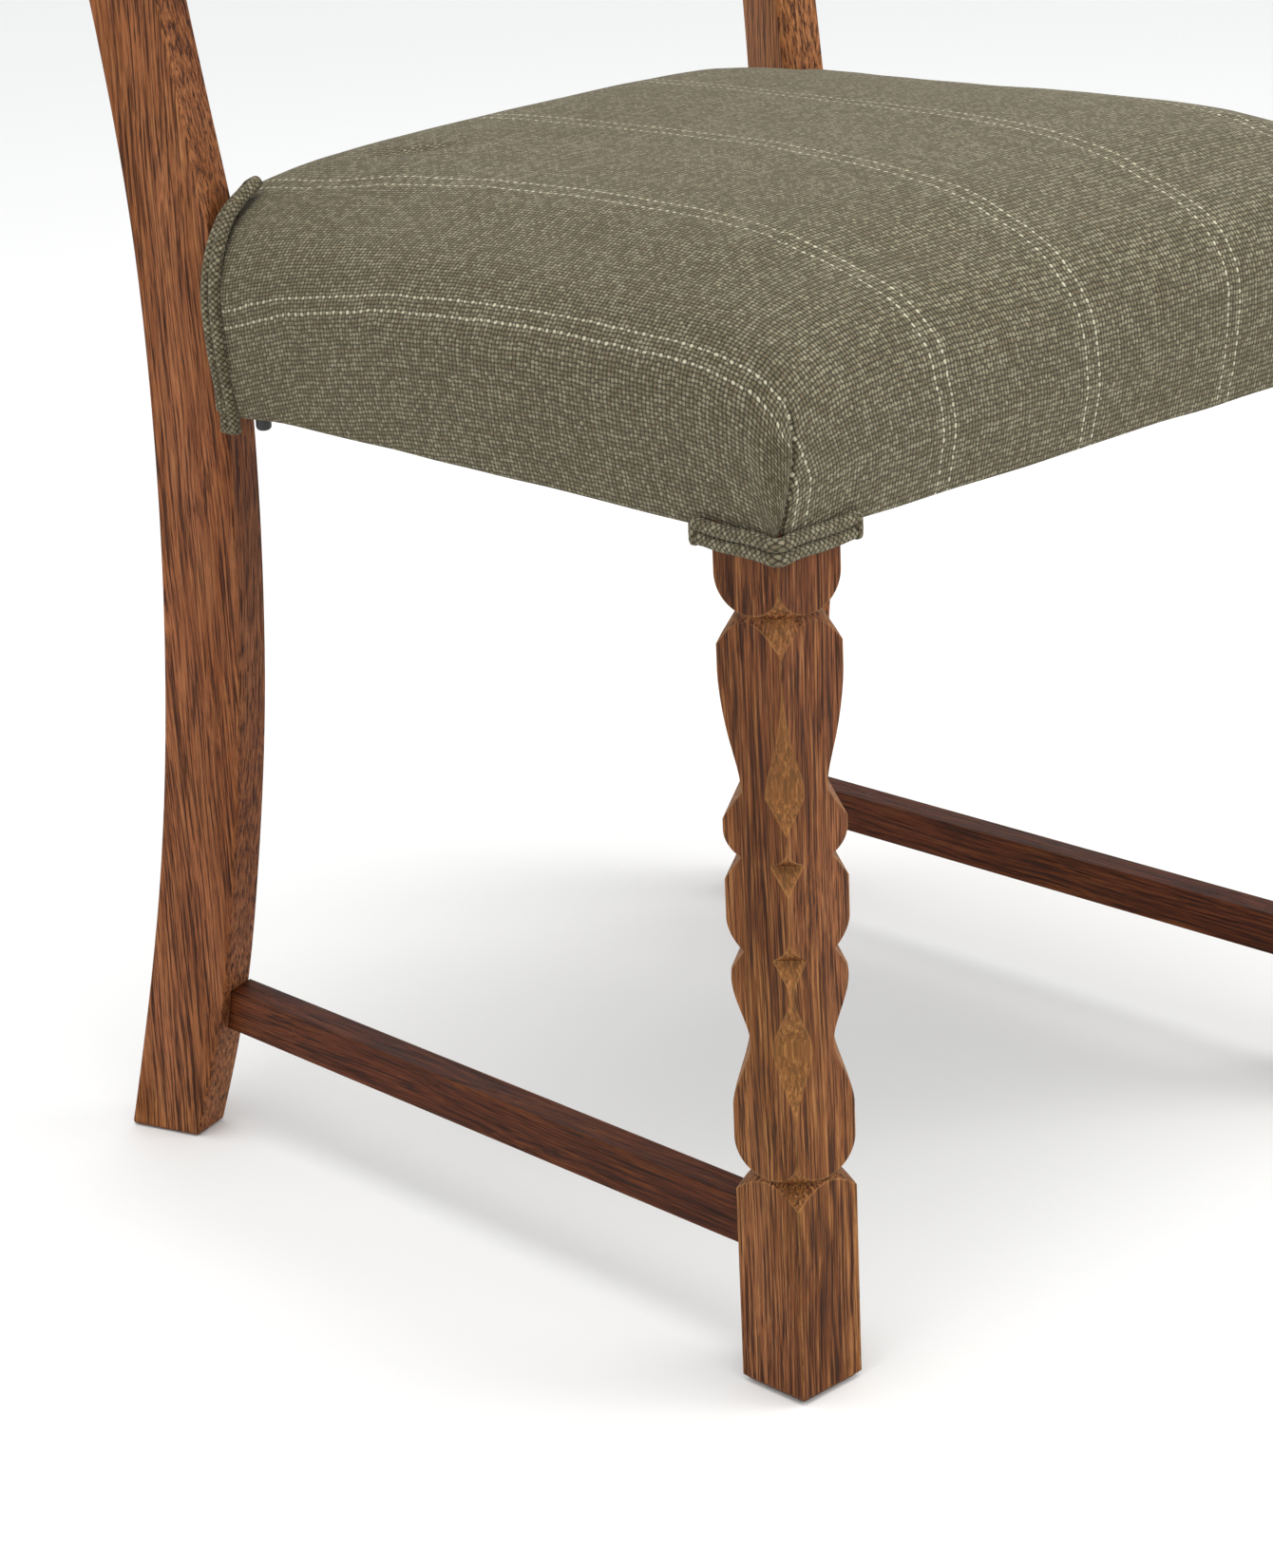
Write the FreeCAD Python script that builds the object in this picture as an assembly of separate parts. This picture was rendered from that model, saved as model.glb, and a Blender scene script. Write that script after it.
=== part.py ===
import FreeCAD, Part
import math
import os

# Upholstered dining chair. Millimetres, +Z up, the front faces -Y, the sitter's left is +X.
# The drawing is made with y = 0 at the front legs' front face and moved at the end, so that the
# origin is on the floor under the middle of the whole chair.

# Overall sizes
front_width = 438.0         # over the outer faces of the front legs
post_half_width = 204.7     # chair's centre to the outer front edge of a rear leg at seat height
post_distance = 364.5       # front legs' front face to that same edge
chair_height = 960.0        # top of the posts
rail_top = 430.0            # top of the seat rails and of the front legs
rail_height = 52.6

# Front legs
leg_square = 35.7
foot_chamfer = 2.5          # bevel round the foot
corner_ease = 7.0           # bevel of the leg's outer corner under the cover
neck_depth = 8.0            # deepest corner cut of a carved neck, measured along the diagonal
notch_depth = 6.8           # depth of a corner notch
groove_depth = 8.6          # depth of a turned groove at the corner

# Rear legs
post_turn = 17.9            # degrees that the leg's section is turned about the vertical
post_thickness = 23.6
post_edge_round = 1.6
top_depth = 30.0            # front to rear at the top of the post

# Rails, stretchers and their joints
rail_thickness = 22.0
rail_setback = 3.0          # rail's outer face behind the legs' outer faces
rear_rail_step = 12.0       # rear rail's front face behind the posts' front edge
tenon_thickness = 8.0
tenon_length = 15.0
tenon_shoulder = 7.0        # how much lower than the rail the tenon is, above and below
rear_tenon_offset = 4.0     # side rail's tenon stands this much nearer the outer face at the post
stretcher_width = 15.7
stretcher_height = 21.0
stretcher_bottom = 58.0
stretcher_inset = 9.5       # stretcher's outer face from the front leg's outer face
stretcher_post_inset = 7.6  # and from the rear leg's outer front edge
stretcher_tenon = 8.0
joint_gap = 0.15            # glue gap round a tenon
shoulder_gap = 0.1          # gap between a shoulder and what it meets

# Back
slat_thickness = 10.0
crest_thickness = 14.0
slat_height = 44.0
crest_height = 66.0
slat_setback = 9.0          # slat's front face behind the post's front edge
slat_tenon = 11.0
lowest_slat = 600.0
slat_pitch = 90.0
slat_arch = 7.0
crest_arch = 16.0
crest_margin = 14.0         # post's top above the end of the crest rail
slats = 3

# Upholstery
cloth = 1.6                 # cover thickness
cloth_gap = 0.4             # between the cover and the legs
bulge = 8.0                 # how far the cover stands out beyond the legs at its fullest
corner_radius = 10.0        # cover's corners, seen from above
crown = 53.0                # top of the seat above the rails
turn_under = 24.0           # width of cover turned under the rails
wadding = 4.0
layer_gap = 0.2             # between the layers of the seat
strap_width = 50.0
strap_thickness = 1.3
straps_across = 4
hessian = 0.8
dust_sheet = 1.0
cord = 4.7                  # thickness of one cord of the double welt
cord_gap = 0.1              # between its two cords
welt_reach = 41.0           # welt's length along each face of the front leg
welt_lift = 4.4             # how far the cover is cut away above its lower edge for the welt
dust_inset = 15.0           # dust cover's edge from the legs' outer faces

# Corner blocks and fasteners
block_leg = 52.0            # length of the block along each rail
block_height = 38.0
block_drop = 8.0            # block's top below the rails' top
block_end = 9.0             # thickness of the block at its ends
screw_radius = 2.0
screw_head = 4.0
screw_length = 28.0
screw_in_block = 12.0       # how much wood of the block the screw holds
screw_from_end = 14.0
tack_radius = 3.0
tack_head = 1.0
staple_length = 10.0
staple_wire = 0.7
bolt_radius = 2.0
bolt_length = 26.0
bolt_from_post = 22.0
cap_radius = 3.6
cap_height = 9.0

up = FreeCAD.Vector(0, 0, 1)
rail_bottom = rail_top - rail_height
half_front = front_width / 2


def point(x, y, z=0.0):
    return FreeCAD.Vector(x, y, z)


def mirrored(shape):
    return shape.mirror(point(0, 0), point(1, 0, 0))


def pair(name, shape):
    # one piece for each side of the chair
    return {name + "_left": shape, name + "_right": mirrored(shape)}


def prism(corners, bottom, top):
    # upright solid with straight sides
    ring = [point(x, y, bottom) for x, y in corners]
    face = Part.Face(Part.makePolygon(ring + ring[:1]))
    return face.extrude(point(0, 0, top - bottom))


def bar(start, end, width, bottom, top):
    # upright rectangular bar along the line from start to end, seen from above
    length = math.hypot(end[0] - start[0], end[1] - start[1])
    side_x = (end[1] - start[1]) / length * width / 2
    side_y = -(end[0] - start[0]) / length * width / 2
    corners = [
        (start[0] + side_x, start[1] + side_y),
        (end[0] + side_x, end[1] + side_y),
        (end[0] - side_x, end[1] - side_y),
        (start[0] - side_x, start[1] - side_y),
    ]
    return prism(corners, bottom, top)


def along(start, end, distance):
    # point on the line from start to end, at this distance from start
    length = math.hypot(end[0] - start[0], end[1] - start[1])
    share = distance / length
    return (start[0] + (end[0] - start[0]) * share, start[1] + (end[1] - start[1]) * share)


def spline(places, start_direction=None, end_direction=None):
    curve = Part.BSplineCurve()
    if start_direction is None:
        curve.interpolate(places)
    else:
        curve.interpolate(Points=places, InitialTangent=start_direction, FinalTangent=end_direction)
    return curve.toShape()


def arc(first, middle, last):
    return Part.Arc(first, middle, last).toShape()


# Rear legs

def post_place(shape):
    # from the leg's own frame (x to the rear, y inwards, outer front edge at the origin) to the chair's
    placed = shape.copy()
    placed.rotate(point(0, 0), up, 90 - post_turn)
    placed.translate(point(post_half_width, post_distance))
    return placed


def post_spot(rearward, inward):
    # the same for one point seen from above
    turn = math.radians(90 - post_turn)
    x = post_half_width + rearward * math.cos(turn) - inward * math.sin(turn)
    y = post_distance + rearward * math.sin(turn) + inward * math.cos(turn)
    return (x, y)


def rear_leg_outline():
    # the sabre foot sweeps back to the floor and the post rakes back above the seat
    joint_low = rail_bottom - 6
    joint_high = rail_top + 6
    post_height = chair_height - joint_high
    rake = 0.172
    front_low = [
        point(50.6, 0, 0),
        point(29.8, 0, 0.19 * joint_low),
        point(16.4, 0, 0.376 * joint_low),
        point(5.3, 0, 0.59 * joint_low),
        point(-0.6, 0, 0.81 * joint_low),
        point(-2.0, 0, joint_low),
    ]
    front_high = [
        point(-2.0, 0, joint_high),
        point(1.6, 0, joint_high + 33),
        point(12.0, 0, joint_high + 93),
        point(12.0 + rake * 0.86 * (post_height - 93), 0, chair_height),
    ]
    rear = [
        point(front_high[3].x + top_depth, 0, chair_height),
        point(50.4, 0, joint_high + 96),
        point(42.0, 0, joint_high + 16),
        point(39.9, 0, joint_low + 8),
        point(41.7, 0, 0.81 * joint_low),
        point(48.0, 0, 0.59 * joint_low),
        point(59.1, 0, 0.376 * joint_low),
        point(73.2, 0, 0.19 * joint_low),
        point(90.2, 0, 0),
    ]
    edges = [
        spline(front_low, point(-0.33, 0, 1), up),
        Part.makeLine(front_low[-1], front_high[0]),
        spline(front_high, up, point(rake, 0, 1)),
        Part.makeLine(front_high[-1], rear[0]),
        spline(rear),
        Part.makeLine(rear[-1], front_low[0]),
    ]
    return Part.Face(Part.Wire(edges))


def rear_leg_blank():
    leg = rear_leg_outline().extrude(point(0, post_thickness, 0))
    return leg.makeFillet(post_edge_round, leg.Edges)


def post_front(height):
    # how far behind the seat-height edge the front edge of the post is at this height
    line = Part.makeLine(point(-200, 0, height), point(200, 0, height))
    cut = rear_leg_outline().common(line)
    return cut.BoundBox.XMin


# Front legs

def corner_cut():
    # one corner's carving: the profile in the diagonal plane, cut straight across the corner
    edge = leg_square / math.sqrt(2)
    outside = edge + 8
    neck = edge - neck_depth
    notch = edge - notch_depth
    upper_neck = [
        spline([point(edge, 0, 318), point(edge - 0.9, 0, 306), point(edge - 4.0, 0, 289),
                point(edge - 6.8, 0, 278), point(neck, 0, 269)]),
        Part.makeLine(point(neck, 0, 269), point(edge, 0, 255)),
        Part.makeLine(point(edge, 0, 255), point(outside, 0, 255)),
        Part.makeLine(point(outside, 0, 255), point(outside, 0, 318)),
        Part.makeLine(point(outside, 0, 318), point(edge, 0, 318)),
    ]
    upper_notch = [
        arc(point(edge, 0, 251), point(edge - 1.7, 0, 244.6), point(notch, 0, 240.5)),
        Part.makeLine(point(notch, 0, 240.5), point(edge, 0, 229)),
        Part.makeLine(point(edge, 0, 229), point(outside, 0, 229)),
        Part.makeLine(point(outside, 0, 229), point(outside, 0, 251)),
        Part.makeLine(point(outside, 0, 251), point(edge, 0, 251)),
    ]
    bead = edge - 1.6
    lower_neck = [
        arc(point(edge, 0, 214), point(edge - 1.9, 0, 205), point(notch, 0, 199.5)),
        Part.makeLine(point(notch, 0, 199.5), point(bead, 0, 190)),
        spline([point(bead, 0, 190), point(bead - 0.3, 0, 180), point(edge - 5.4, 0, 170),
                point(neck, 0, 161), point(edge - 5.6, 0, 148), point(edge, 0, 129)]),
        Part.makeLine(point(edge, 0, 129), point(outside, 0, 129)),
        Part.makeLine(point(outside, 0, 129), point(outside, 0, 214)),
        Part.makeLine(point(outside, 0, 214), point(edge, 0, 214)),
    ]
    cuts = []
    for outline in (upper_neck, upper_notch, lower_neck):
        face = Part.Face(Part.Wire(outline))
        face.translate(point(0, -leg_square, 0))
        cuts.append(face.extrude(point(0, 2 * leg_square, 0)))
    return cuts


def turned_groove(top, middle, bottom):
    # rounded above and bevelled below, all the way round the leg
    edge = leg_square / math.sqrt(2)
    outside = edge + 8
    floor = edge - groove_depth
    outline = [
        arc(point(edge, 0, top), point(edge - 2.3, 0, middle + (top - middle) * 0.42),
            point(floor, 0, middle)),
        Part.makeLine(point(floor, 0, middle), point(edge, 0, bottom)),
        Part.makeLine(point(edge, 0, bottom), point(outside, 0, bottom)),
        Part.makeLine(point(outside, 0, bottom), point(outside, 0, top)),
        Part.makeLine(point(outside, 0, top), point(edge, 0, top)),
    ]
    return Part.Face(Part.Wire(outline)).revolve(point(0, 0), up, 360)


def front_leg_blank():
    leg = Part.makeBox(leg_square, leg_square, rail_top, point(-leg_square / 2, -leg_square / 2, 0))
    foot_edges = [edge for edge in leg.Edges if edge.BoundBox.ZMax < 1]
    leg = leg.makeChamfer(foot_chamfer, foot_edges)
    for quarter in range(4):
        for cut in corner_cut():
            cut.rotate(point(0, 0), up, 45 + 90 * quarter)
            leg = leg.cut(cut)
    leg = leg.cut(turned_groove(359, 343, 329))
    leg = leg.cut(turned_groove(114, 99, 90))
    leg.translate(point(half_front - leg_square / 2, leg_square / 2, 0))
    ease = prism([(half_front - corner_ease, -1), (half_front + 1, -1), (half_front + 1, corner_ease)],
                 seat_low() + welt_lift, rail_top + 1)
    return leg.cut(ease)


# Lines of the rails and stretchers, seen from above, on the left side

def seat_side(y):
    # outer line of the seat from the front leg's outer face to the post's outer front edge
    return half_front + (post_half_width - half_front) * y / post_distance


def side_rail_line():
    inset = rail_setback + rail_thickness / 2
    return (seat_side(leg_square) - inset, leg_square), (seat_side(post_distance) - inset, post_distance)


def stretcher_line():
    middle = stretcher_bottom + stretcher_height / 2
    rear_x, rear_y = post_spot(post_front(middle), 0)
    inset = stretcher_width / 2
    front = (half_front - stretcher_inset - inset, leg_square)
    return front, (rear_x - stretcher_post_inset - inset, rear_y)


def side_member(line, width, bottom, top, tenon_width, tenon_bottom, tenon_top, tenon_shift):
    # a bar between the front leg and the curved rear leg, with a tenon at each end
    start, end = line
    length = math.hypot(end[0] - start[0], end[1] - start[1])
    body = bar(along(start, end, -5), along(start, end, length + 30), width, bottom, top)
    front_stop = Part.makeBox(600, 100, 600, point(-100, leg_square + shoulder_gap - 100, 0))
    rear_stop = rear_leg_outline().extrude(point(0, post_thickness * 3, 0))
    rear_stop.translate(point(-shoulder_gap, -post_thickness, 0))
    pieces = body.cut(front_stop).cut(post_place(rear_stop)).Solids
    body = min(pieces, key=lambda piece: piece.CenterOfMass.y)
    tenon = {}
    for gap in (0.0, joint_gap):
        front_end = along(start, end, -tenon_length - gap * 4)
        middle = along(start, end, length * 0.5)
        rear_end = along(start, end, length + tenon_length + gap * 4)
        shift = point(tenon_shift, 0, 0)
        low = tenon_bottom - gap
        high = tenon_top + gap
        front_tenon = bar(front_end, middle, tenon_width + 2 * gap, low, high)
        rear_tenon = bar(middle, rear_end, tenon_width + 2 * gap, low, high)
        rear_tenon.translate(shift)
        tenon[gap] = (front_tenon, rear_tenon)
    member = body.fuse([tenon[0.0][0], tenon[0.0][1]]).removeSplitter()
    return member, tenon[joint_gap][0], tenon[joint_gap][1]


def front_rail_parts():
    depth = rail_setback + rail_thickness / 2
    inner = half_front - leg_square - shoulder_gap
    body = bar((-inner, depth), (inner, depth), rail_thickness, rail_bottom, rail_top)
    low = rail_bottom + tenon_shoulder
    high = rail_top - tenon_shoulder
    reach = half_front - leg_square + tenon_length
    tenon = bar((-reach, depth), (reach, depth), tenon_thickness, low, high)
    mortise = bar((-reach - 0.6, depth), (reach + 0.6, depth), tenon_thickness + 2 * joint_gap,
                  low - joint_gap, high + joint_gap)
    return body.fuse(tenon).removeSplitter(), mortise


def rear_rail_parts():
    # the ends follow the turned inner faces of the posts
    depth = post_distance + rear_rail_step
    far = depth + rail_thickness

    def inner_face(y, back_off):
        # x of the post's inner face, and back_off short of it, on the line at y
        turn = math.radians(post_turn)
        base_x, base_y = post_spot(0, post_thickness + back_off)
        return base_x + (y - base_y) * math.tan(turn)

    near_x = inner_face(depth, shoulder_gap)
    far_x = inner_face(far, shoulder_gap)
    corners = [(-near_x, depth), (near_x, depth), (far_x, far), (-far_x, far)]
    body = prism(corners, rail_bottom, rail_top)
    low = rail_bottom + tenon_shoulder
    high = rail_top - tenon_shoulder
    middle = depth + rail_thickness * 0.56
    reach = inner_face(middle, 0) + tenon_length * 0.7
    tenon = bar((-reach, middle), (reach, middle), tenon_thickness, low, high)
    mortise = bar((-reach - 0.6, middle), (reach + 0.6, middle), tenon_thickness + 2 * joint_gap,
                  low - joint_gap, high + joint_gap)
    return body.fuse(tenon).removeSplitter(), mortise


# Back slats and crest rail

def slat(bottom, height, arch, thickness, gap, extra):
    # a bent board on an arc that meets both posts square to their inner faces
    front = post_front(bottom + height / 2) + slat_setback - gap
    rake = (post_front(bottom + height) - post_front(bottom)) / height
    thick = thickness + 2 * gap
    turn = math.radians(post_turn)
    end_x, end_y = post_spot(front, post_thickness)
    radius = end_x / math.sin(turn)
    centre_y = end_y - radius * math.cos(turn)
    lean = rake * math.cos(turn)
    reach = turn * 1.35
    rings = []
    for r in (radius, radius + thick):
        ends = [point(side * r * math.sin(reach), centre_y + r * math.cos(reach), 0) for side in (-1, 1)]
        rings.append((ends[0], point(0, centre_y + r, 0), ends[1]))
    inner, outer = rings
    outline = Part.Wire([
        arc(inner[0], inner[1], inner[2]),
        Part.makeLine(inner[2], outer[2]),
        arc(outer[2], outer[1], outer[0]),
        Part.makeLine(outer[0], inner[0]),
    ])
    strip = Part.Face(outline)
    low = bottom - 60
    rise = height + 120 + arch
    strip.translate(point(0, -lean * (height / 2 + 60), low))
    board = strip.extrude(point(0, lean * rise, rise))
    wide = end_x + 60
    base = bottom - gap
    top = bottom + height + gap
    shape = Part.Wire([
        arc(point(-wide, 0, base), point(0, 0, base + arch), point(wide, 0, base)),
        Part.makeLine(point(wide, 0, base), point(wide, 0, top)),
        arc(point(wide, 0, top), point(0, 0, top + arch), point(-wide, 0, top)),
        Part.makeLine(point(-wide, 0, top), point(-wide, 0, base)),
    ])
    board = board.common(Part.Face(shape).extrude(point(0, 2 * post_distance, 0)))
    depth = slat_tenon + extra
    stop = Part.makeBox(600, 400, 2000, point(-300, post_thickness - depth - 400, -500))
    stop = post_place(stop)
    return board.cut(stop).cut(mirrored(stop))


def back_boards():
    # name, bottom, height, arch and thickness of each board
    boards = []
    names = ("back_slat_lower", "back_slat_middle", "back_slat_upper")
    for index in range(slats):
        boards.append((names[index], lowest_slat + index * slat_pitch, slat_height, slat_arch,
                       slat_thickness))
    crest_bottom = chair_height - crest_margin - crest_height
    boards.append(("crest_rail", crest_bottom, crest_height, crest_arch, crest_thickness))
    return boards


# Upholstery

def seat_rear():
    # the cover's rear line, behind the rear rail and its wadding
    rail = post_distance + rear_rail_step + rail_thickness
    return rail + wadding + cloth + cloth_gap + 2 * layer_gap


def seat_outline(height, inset, depth):
    # closed line round the seat at one height, with rounded corners that grow as it draws in
    radius = corner_radius + max(inset, 0) * 0.45
    front = inset + depth
    rear = seat_rear() - max(inset, 0) - depth
    front_x = seat_side(front) - front
    rear_x = seat_side(rear) - front
    corners = [(front_x, front), (rear_x, rear), (-rear_x, rear), (-front_x, front)]
    edges = []
    ends = []
    for index, corner in enumerate(corners):
        before = corners[index - 1]
        after = corners[(index + 1) % 4]
        ends.append((along(corner, before, radius), corner, along(corner, after, radius)))
    for index, (start, corner, end) in enumerate(ends):
        curve = Part.BezierCurve()
        curve.setPoles([point(*start, height), point(*corner, height), point(*end, height)])
        edges.append(curve.toShape())
        following = ends[(index + 1) % 4][0]
        edges.append(Part.makeLine(point(*end, height), point(*following, height)))
    return Part.Wire(edges)


def seat_low():
    return rail_bottom - cloth - layer_gap


def seat_levels(depth):
    # height and inset of the cover's outer surface, from its lower edge to the crown, and of a
    # surface this far inside it
    low = seat_low()
    side = rail_top - low
    fullest = -bulge
    edge = -(cloth + cloth_gap)
    reach = min(half_front, seat_rear() / 2)
    outer = [
        (low, edge),
        (low + side * 0.34, (edge + fullest) / 2 - 0.6),
        (low + side * 0.68, fullest),
        (low + side * 0.985, fullest * 0.66),
        (rail_top + crown * 0.215, 2.0),
        (rail_top + crown * 0.375, reach * 0.065),
        (rail_top + crown * 0.55, reach * 0.145),
        (rail_top + crown * 0.73, reach * 0.26),
        (rail_top + crown * 0.89, reach * 0.43),
        (rail_top + crown, reach * 0.62),
    ]
    return [(height - depth * min(1.0, max(inset, 0) / 40), inset) for height, inset in outer]


def inset_at(height, depth):
    levels = seat_levels(depth)
    for (low, low_inset), (high, high_inset) in zip(levels, levels[1:]):
        if height <= high:
            return low_inset + (high_inset - low_inset) * (height - low) / (high - low)
    return levels[-1][1]


def seat_body(depth, bottom):
    # solid inside the cover's outer surface, this far in from it, cut off level at the bottom
    wires = [seat_outline(bottom, inset_at(bottom, depth), depth)]
    for height, inset in seat_levels(depth):
        if height > bottom + 1:
            wires.append(seat_outline(height, inset, depth))
    return Part.makeLoft(wires, True, True)


def post_notch(clear):
    # the corner of the seat behind a post's front face and outside its inner face
    box = Part.makeBox(200, 300 + post_thickness, 400, point(-2.0 - clear, -300 + clear, 200))
    return post_place(box)


def cut_both(shape, tool):
    return shape.cut(tool).cut(mirrored(tool))


def leg_opening():
    # where the cover is cut away round the top of a front leg, just above the double welt
    low = seat_low()
    reach = welt_reach + 1
    return Part.makeBox(reach + 30, reach + 30, 50 + welt_lift,
                        point(half_front - reach, -30, low - 50))


def leg_room(bottom, gap):
    # the upper end of a front leg with this much round it
    size = leg_square + 2 * gap
    return Part.makeBox(size, size, rail_top + layer_gap - bottom,
                        point(half_front - leg_square - gap, -gap, bottom))


def cap_spot():
    # middle of the bolt under the side rail, just in front of the post
    y = post_distance - bolt_from_post
    return seat_side(y) - rail_setback - rail_thickness * 0.2, y


def bolt_hole(gap):
    x, y = cap_spot()
    return Part.makeCylinder(bolt_radius + gap, bolt_length + gap, point(x, y, seat_low() - 1))


def seat_cover():
    low = seat_low()
    cover = seat_body(0.0, low).cut(seat_body(cloth, low + cloth))
    window = Part.Face(seat_outline(low - 1, 0, turn_under))
    cover = cover.cut(window.extrude(point(0, 0, 2 + cloth)))
    tools = [post_notch(2 * cord + 2 * layer_gap), leg_opening(), bolt_hole(layer_gap)]
    tools.append(leg_room(low - 10, layer_gap))
    for tool in tools:
        cover = cut_both(cover, tool)
    return cover


def wadding_layer():
    bottom = rail_top - rail_height * 0.6
    depth = cloth + layer_gap
    layer = seat_body(depth, bottom).cut(seat_body(depth + wadding, bottom - 5))
    front = -layer_gap
    rear = seat_rear() - cloth - wadding - layer_gap
    frame = prism([(seat_side(front) - front, front), (seat_side(rear) - front, rear),
                   (front - seat_side(rear), rear), (front - seat_side(front), front)],
                  bottom - 10, hessian_bottom())
    layer = cut_both(layer.cut(frame), post_notch(2 * cord + 1))
    # none between the cover and the front legs
    return cut_both(layer, leg_room(bottom - 10, wadding + bulge))


def hessian_bottom():
    return rail_top + 2 * (strap_thickness + layer_gap) + tack_head + layer_gap


def foam_depth():
    return cloth + wadding + 7 * layer_gap


def hessian_sheet():
    bottom = hessian_bottom()
    outline = seat_outline(bottom, inset_at(bottom, foam_depth()), foam_depth() + 1)
    sheet = Part.Face(outline).extrude(point(0, 0, hessian))
    return cut_both(sheet, post_notch(2 * cord + 1))


def foam_pad():
    pad = seat_body(foam_depth(), hessian_bottom() + hessian + layer_gap)
    return cut_both(pad, post_notch(2 * cord + 1))


def tube(places, radius):
    # round cord along straight and curved edges that run into each other
    path = Part.Wire(places)
    start = path.Edges[0]
    first = start.firstVertex().Point
    ring = Part.makeCircle(radius, first, start.tangentAt(start.FirstParameter))
    return path.makePipeShell([Part.Wire(ring)], True, False)


def front_welt():
    # two cords, one above the other, round the outer corner of the front leg
    radius = cord / 2
    off = radius + layer_gap
    bend = off + 0.3
    x = half_front + off
    turn = math.sqrt(0.5) * bend
    cords = []
    for drop in (radius, radius + cord + cord_gap):
        z = seat_low() + welt_lift - layer_gap - drop
        cords.append(tube([
            Part.makeLine(point(x, welt_reach, z), point(x, bend - off, z)),
            arc(point(x, bend - off, z), point(x - bend + turn, bend - off - turn, z),
                point(x - bend, -off, z)),
            Part.makeLine(point(x - bend, -off, z), point(half_front - welt_reach, -off, z)),
        ], radius))
    return Part.makeCompound(cords)


def welt_spot(back, height):
    # where the edge of the seat meets a plane just in front of the post
    stand_off = cord / 4
    turn = math.radians(post_turn)
    taper = (post_half_width - half_front) / post_distance
    across = stand_off - inset_at(height, 0) - back * (math.sin(turn) - math.cos(turn) * taper)
    outward = across / (math.cos(turn) + math.sin(turn) * taper)
    return outward


def rear_welt():
    # two cords side by side up the front of the post and over the shoulder of the seat
    radius = cord / 2
    cords = []
    for step in (0, 1):
        back = -2.0 - layer_gap - radius - step * (cord + cord_gap)
        heights = [level[0] for level in seat_levels(0)[1:6]]
        places = [(-1.0, seat_low() - radius * 2.4)]
        places += [(welt_spot(back, height), height + 0.8) for height in heights]
        inner = radius + 1 - post_thickness
        last = rail_top + crown * 0.5
        places.append((max(welt_spot(back, last), inner), last + 0.8))
        curve = spline([point(*post_spot(back, -out), height) for out, height in places])
        cords.append(tube([curve], radius))
    return Part.makeCompound(cords)


# Corner blocks, webbing and fasteners

def rail_inside(y):
    return seat_side(y) - rail_setback - rail_thickness - layer_gap


def block_bottom():
    return rail_top - block_drop - block_height


def front_block_outline():
    leg_inner = half_front - leg_square - 1
    behind = leg_square + 1
    front = rail_setback + rail_thickness + layer_gap
    far = leg_square + block_leg
    return [(leg_inner, front), (leg_inner - block_leg, front), (leg_inner - block_leg, front + block_end),
            (rail_inside(far) - block_end, far), (rail_inside(far), far), (rail_inside(behind), behind),
            (leg_inner, behind)]


def rear_block_outline():
    rear = post_distance + rear_rail_step - layer_gap
    near = rear - block_leg
    side = rail_inside(rear)
    return [(side, rear), (side - block_leg, rear), (side - block_leg, rear - block_end),
            (rail_inside(near) - block_end, near), (rail_inside(near), near)]


def screw_places():
    # start of the shank under the head, and its direction, for the screws of the left blocks
    front = rail_setback + rail_thickness
    rear = post_distance + rear_rail_step
    along_front = half_front - leg_square - block_leg + screw_from_end
    along_rear = rail_inside(rear) - block_leg + screw_from_end
    side_front = leg_square + block_leg - screw_from_end
    side_rear = rear - block_leg + screw_from_end
    height = block_bottom() + block_height / 2
    return [
        (point(along_front, front + screw_in_block, height), point(0, -1, 0)),
        (point(along_rear, rear - screw_in_block, height), point(0, 1, 0)),
        (point(rail_inside(side_front) - screw_in_block, side_front, height + 6), point(1, 0, 0)),
        (point(rail_inside(side_rear) - screw_in_block, side_rear, height + 6), point(1, 0, 0)),
    ]


def screws(gap):
    # gap 0 gives the screws, and a clearance gives the holes for them
    group = []
    for start, direction in screw_places():
        shank = Part.makeCylinder(screw_radius + gap, screw_length + gap * 5, start, direction)
        head_height = 2.6 if gap == 0 else 60
        head = Part.makeCylinder(screw_head + 2 * gap, head_height, start, -direction)
        group.append(shank.fuse(head))
    return group


def strap_lines():
    # middle lines of the straps, front to back and then side to side, as (start, end) seen from above
    edge = 2.0
    first = rail_setback + edge
    last = post_distance + rear_rail_step + rail_thickness - edge
    inner_width = 2 * (post_half_width - rail_setback - rail_thickness - strap_width / 2)
    lines = []
    for index in range(straps_across):
        x = (index - (straps_across - 1) / 2) * inner_width / straps_across
        lines.append(((x, first), (x, last)))
    across = []
    front = rail_setback + rail_thickness + strap_width / 2
    room = post_distance - front - strap_width / 2
    for index in range(straps_across):
        y = front + room * (index + 0.5) / straps_across
        x = seat_side(y) - rail_setback - edge
        across.append(((-x, y), (x, y)))
    return lines, across


def straps(lines, layer):
    bottom = rail_top + layer_gap + layer * (strap_thickness + layer_gap)
    return [bar(start, end, strap_width, bottom, bottom + strap_thickness) for start, end in lines]


def tacks(gap):
    group = []
    from_end = 8.0
    for layer, lines in enumerate(strap_lines()):
        top = rail_top + layer_gap + layer * (strap_thickness + layer_gap) + strap_thickness
        for start, end in lines:
            for one, other in ((start, end), (end, start)):
                x, y = along(one, other, from_end)
                for side in (-1, 1):
                    shift = side * strap_width * 0.3
                    place = (x + shift, y) if layer == 0 else (x, y + shift)
                    nail = Part.makeCylinder(tack_radius * 0.25 + gap, 11 + gap,
                                             point(*place, top - 11 - gap))
                    if gap == 0:
                        head = Part.makeCylinder(tack_radius, tack_head, point(*place, top))
                        nail = nail.fuse(head)
                    group.append(nail)
    return group


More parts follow.
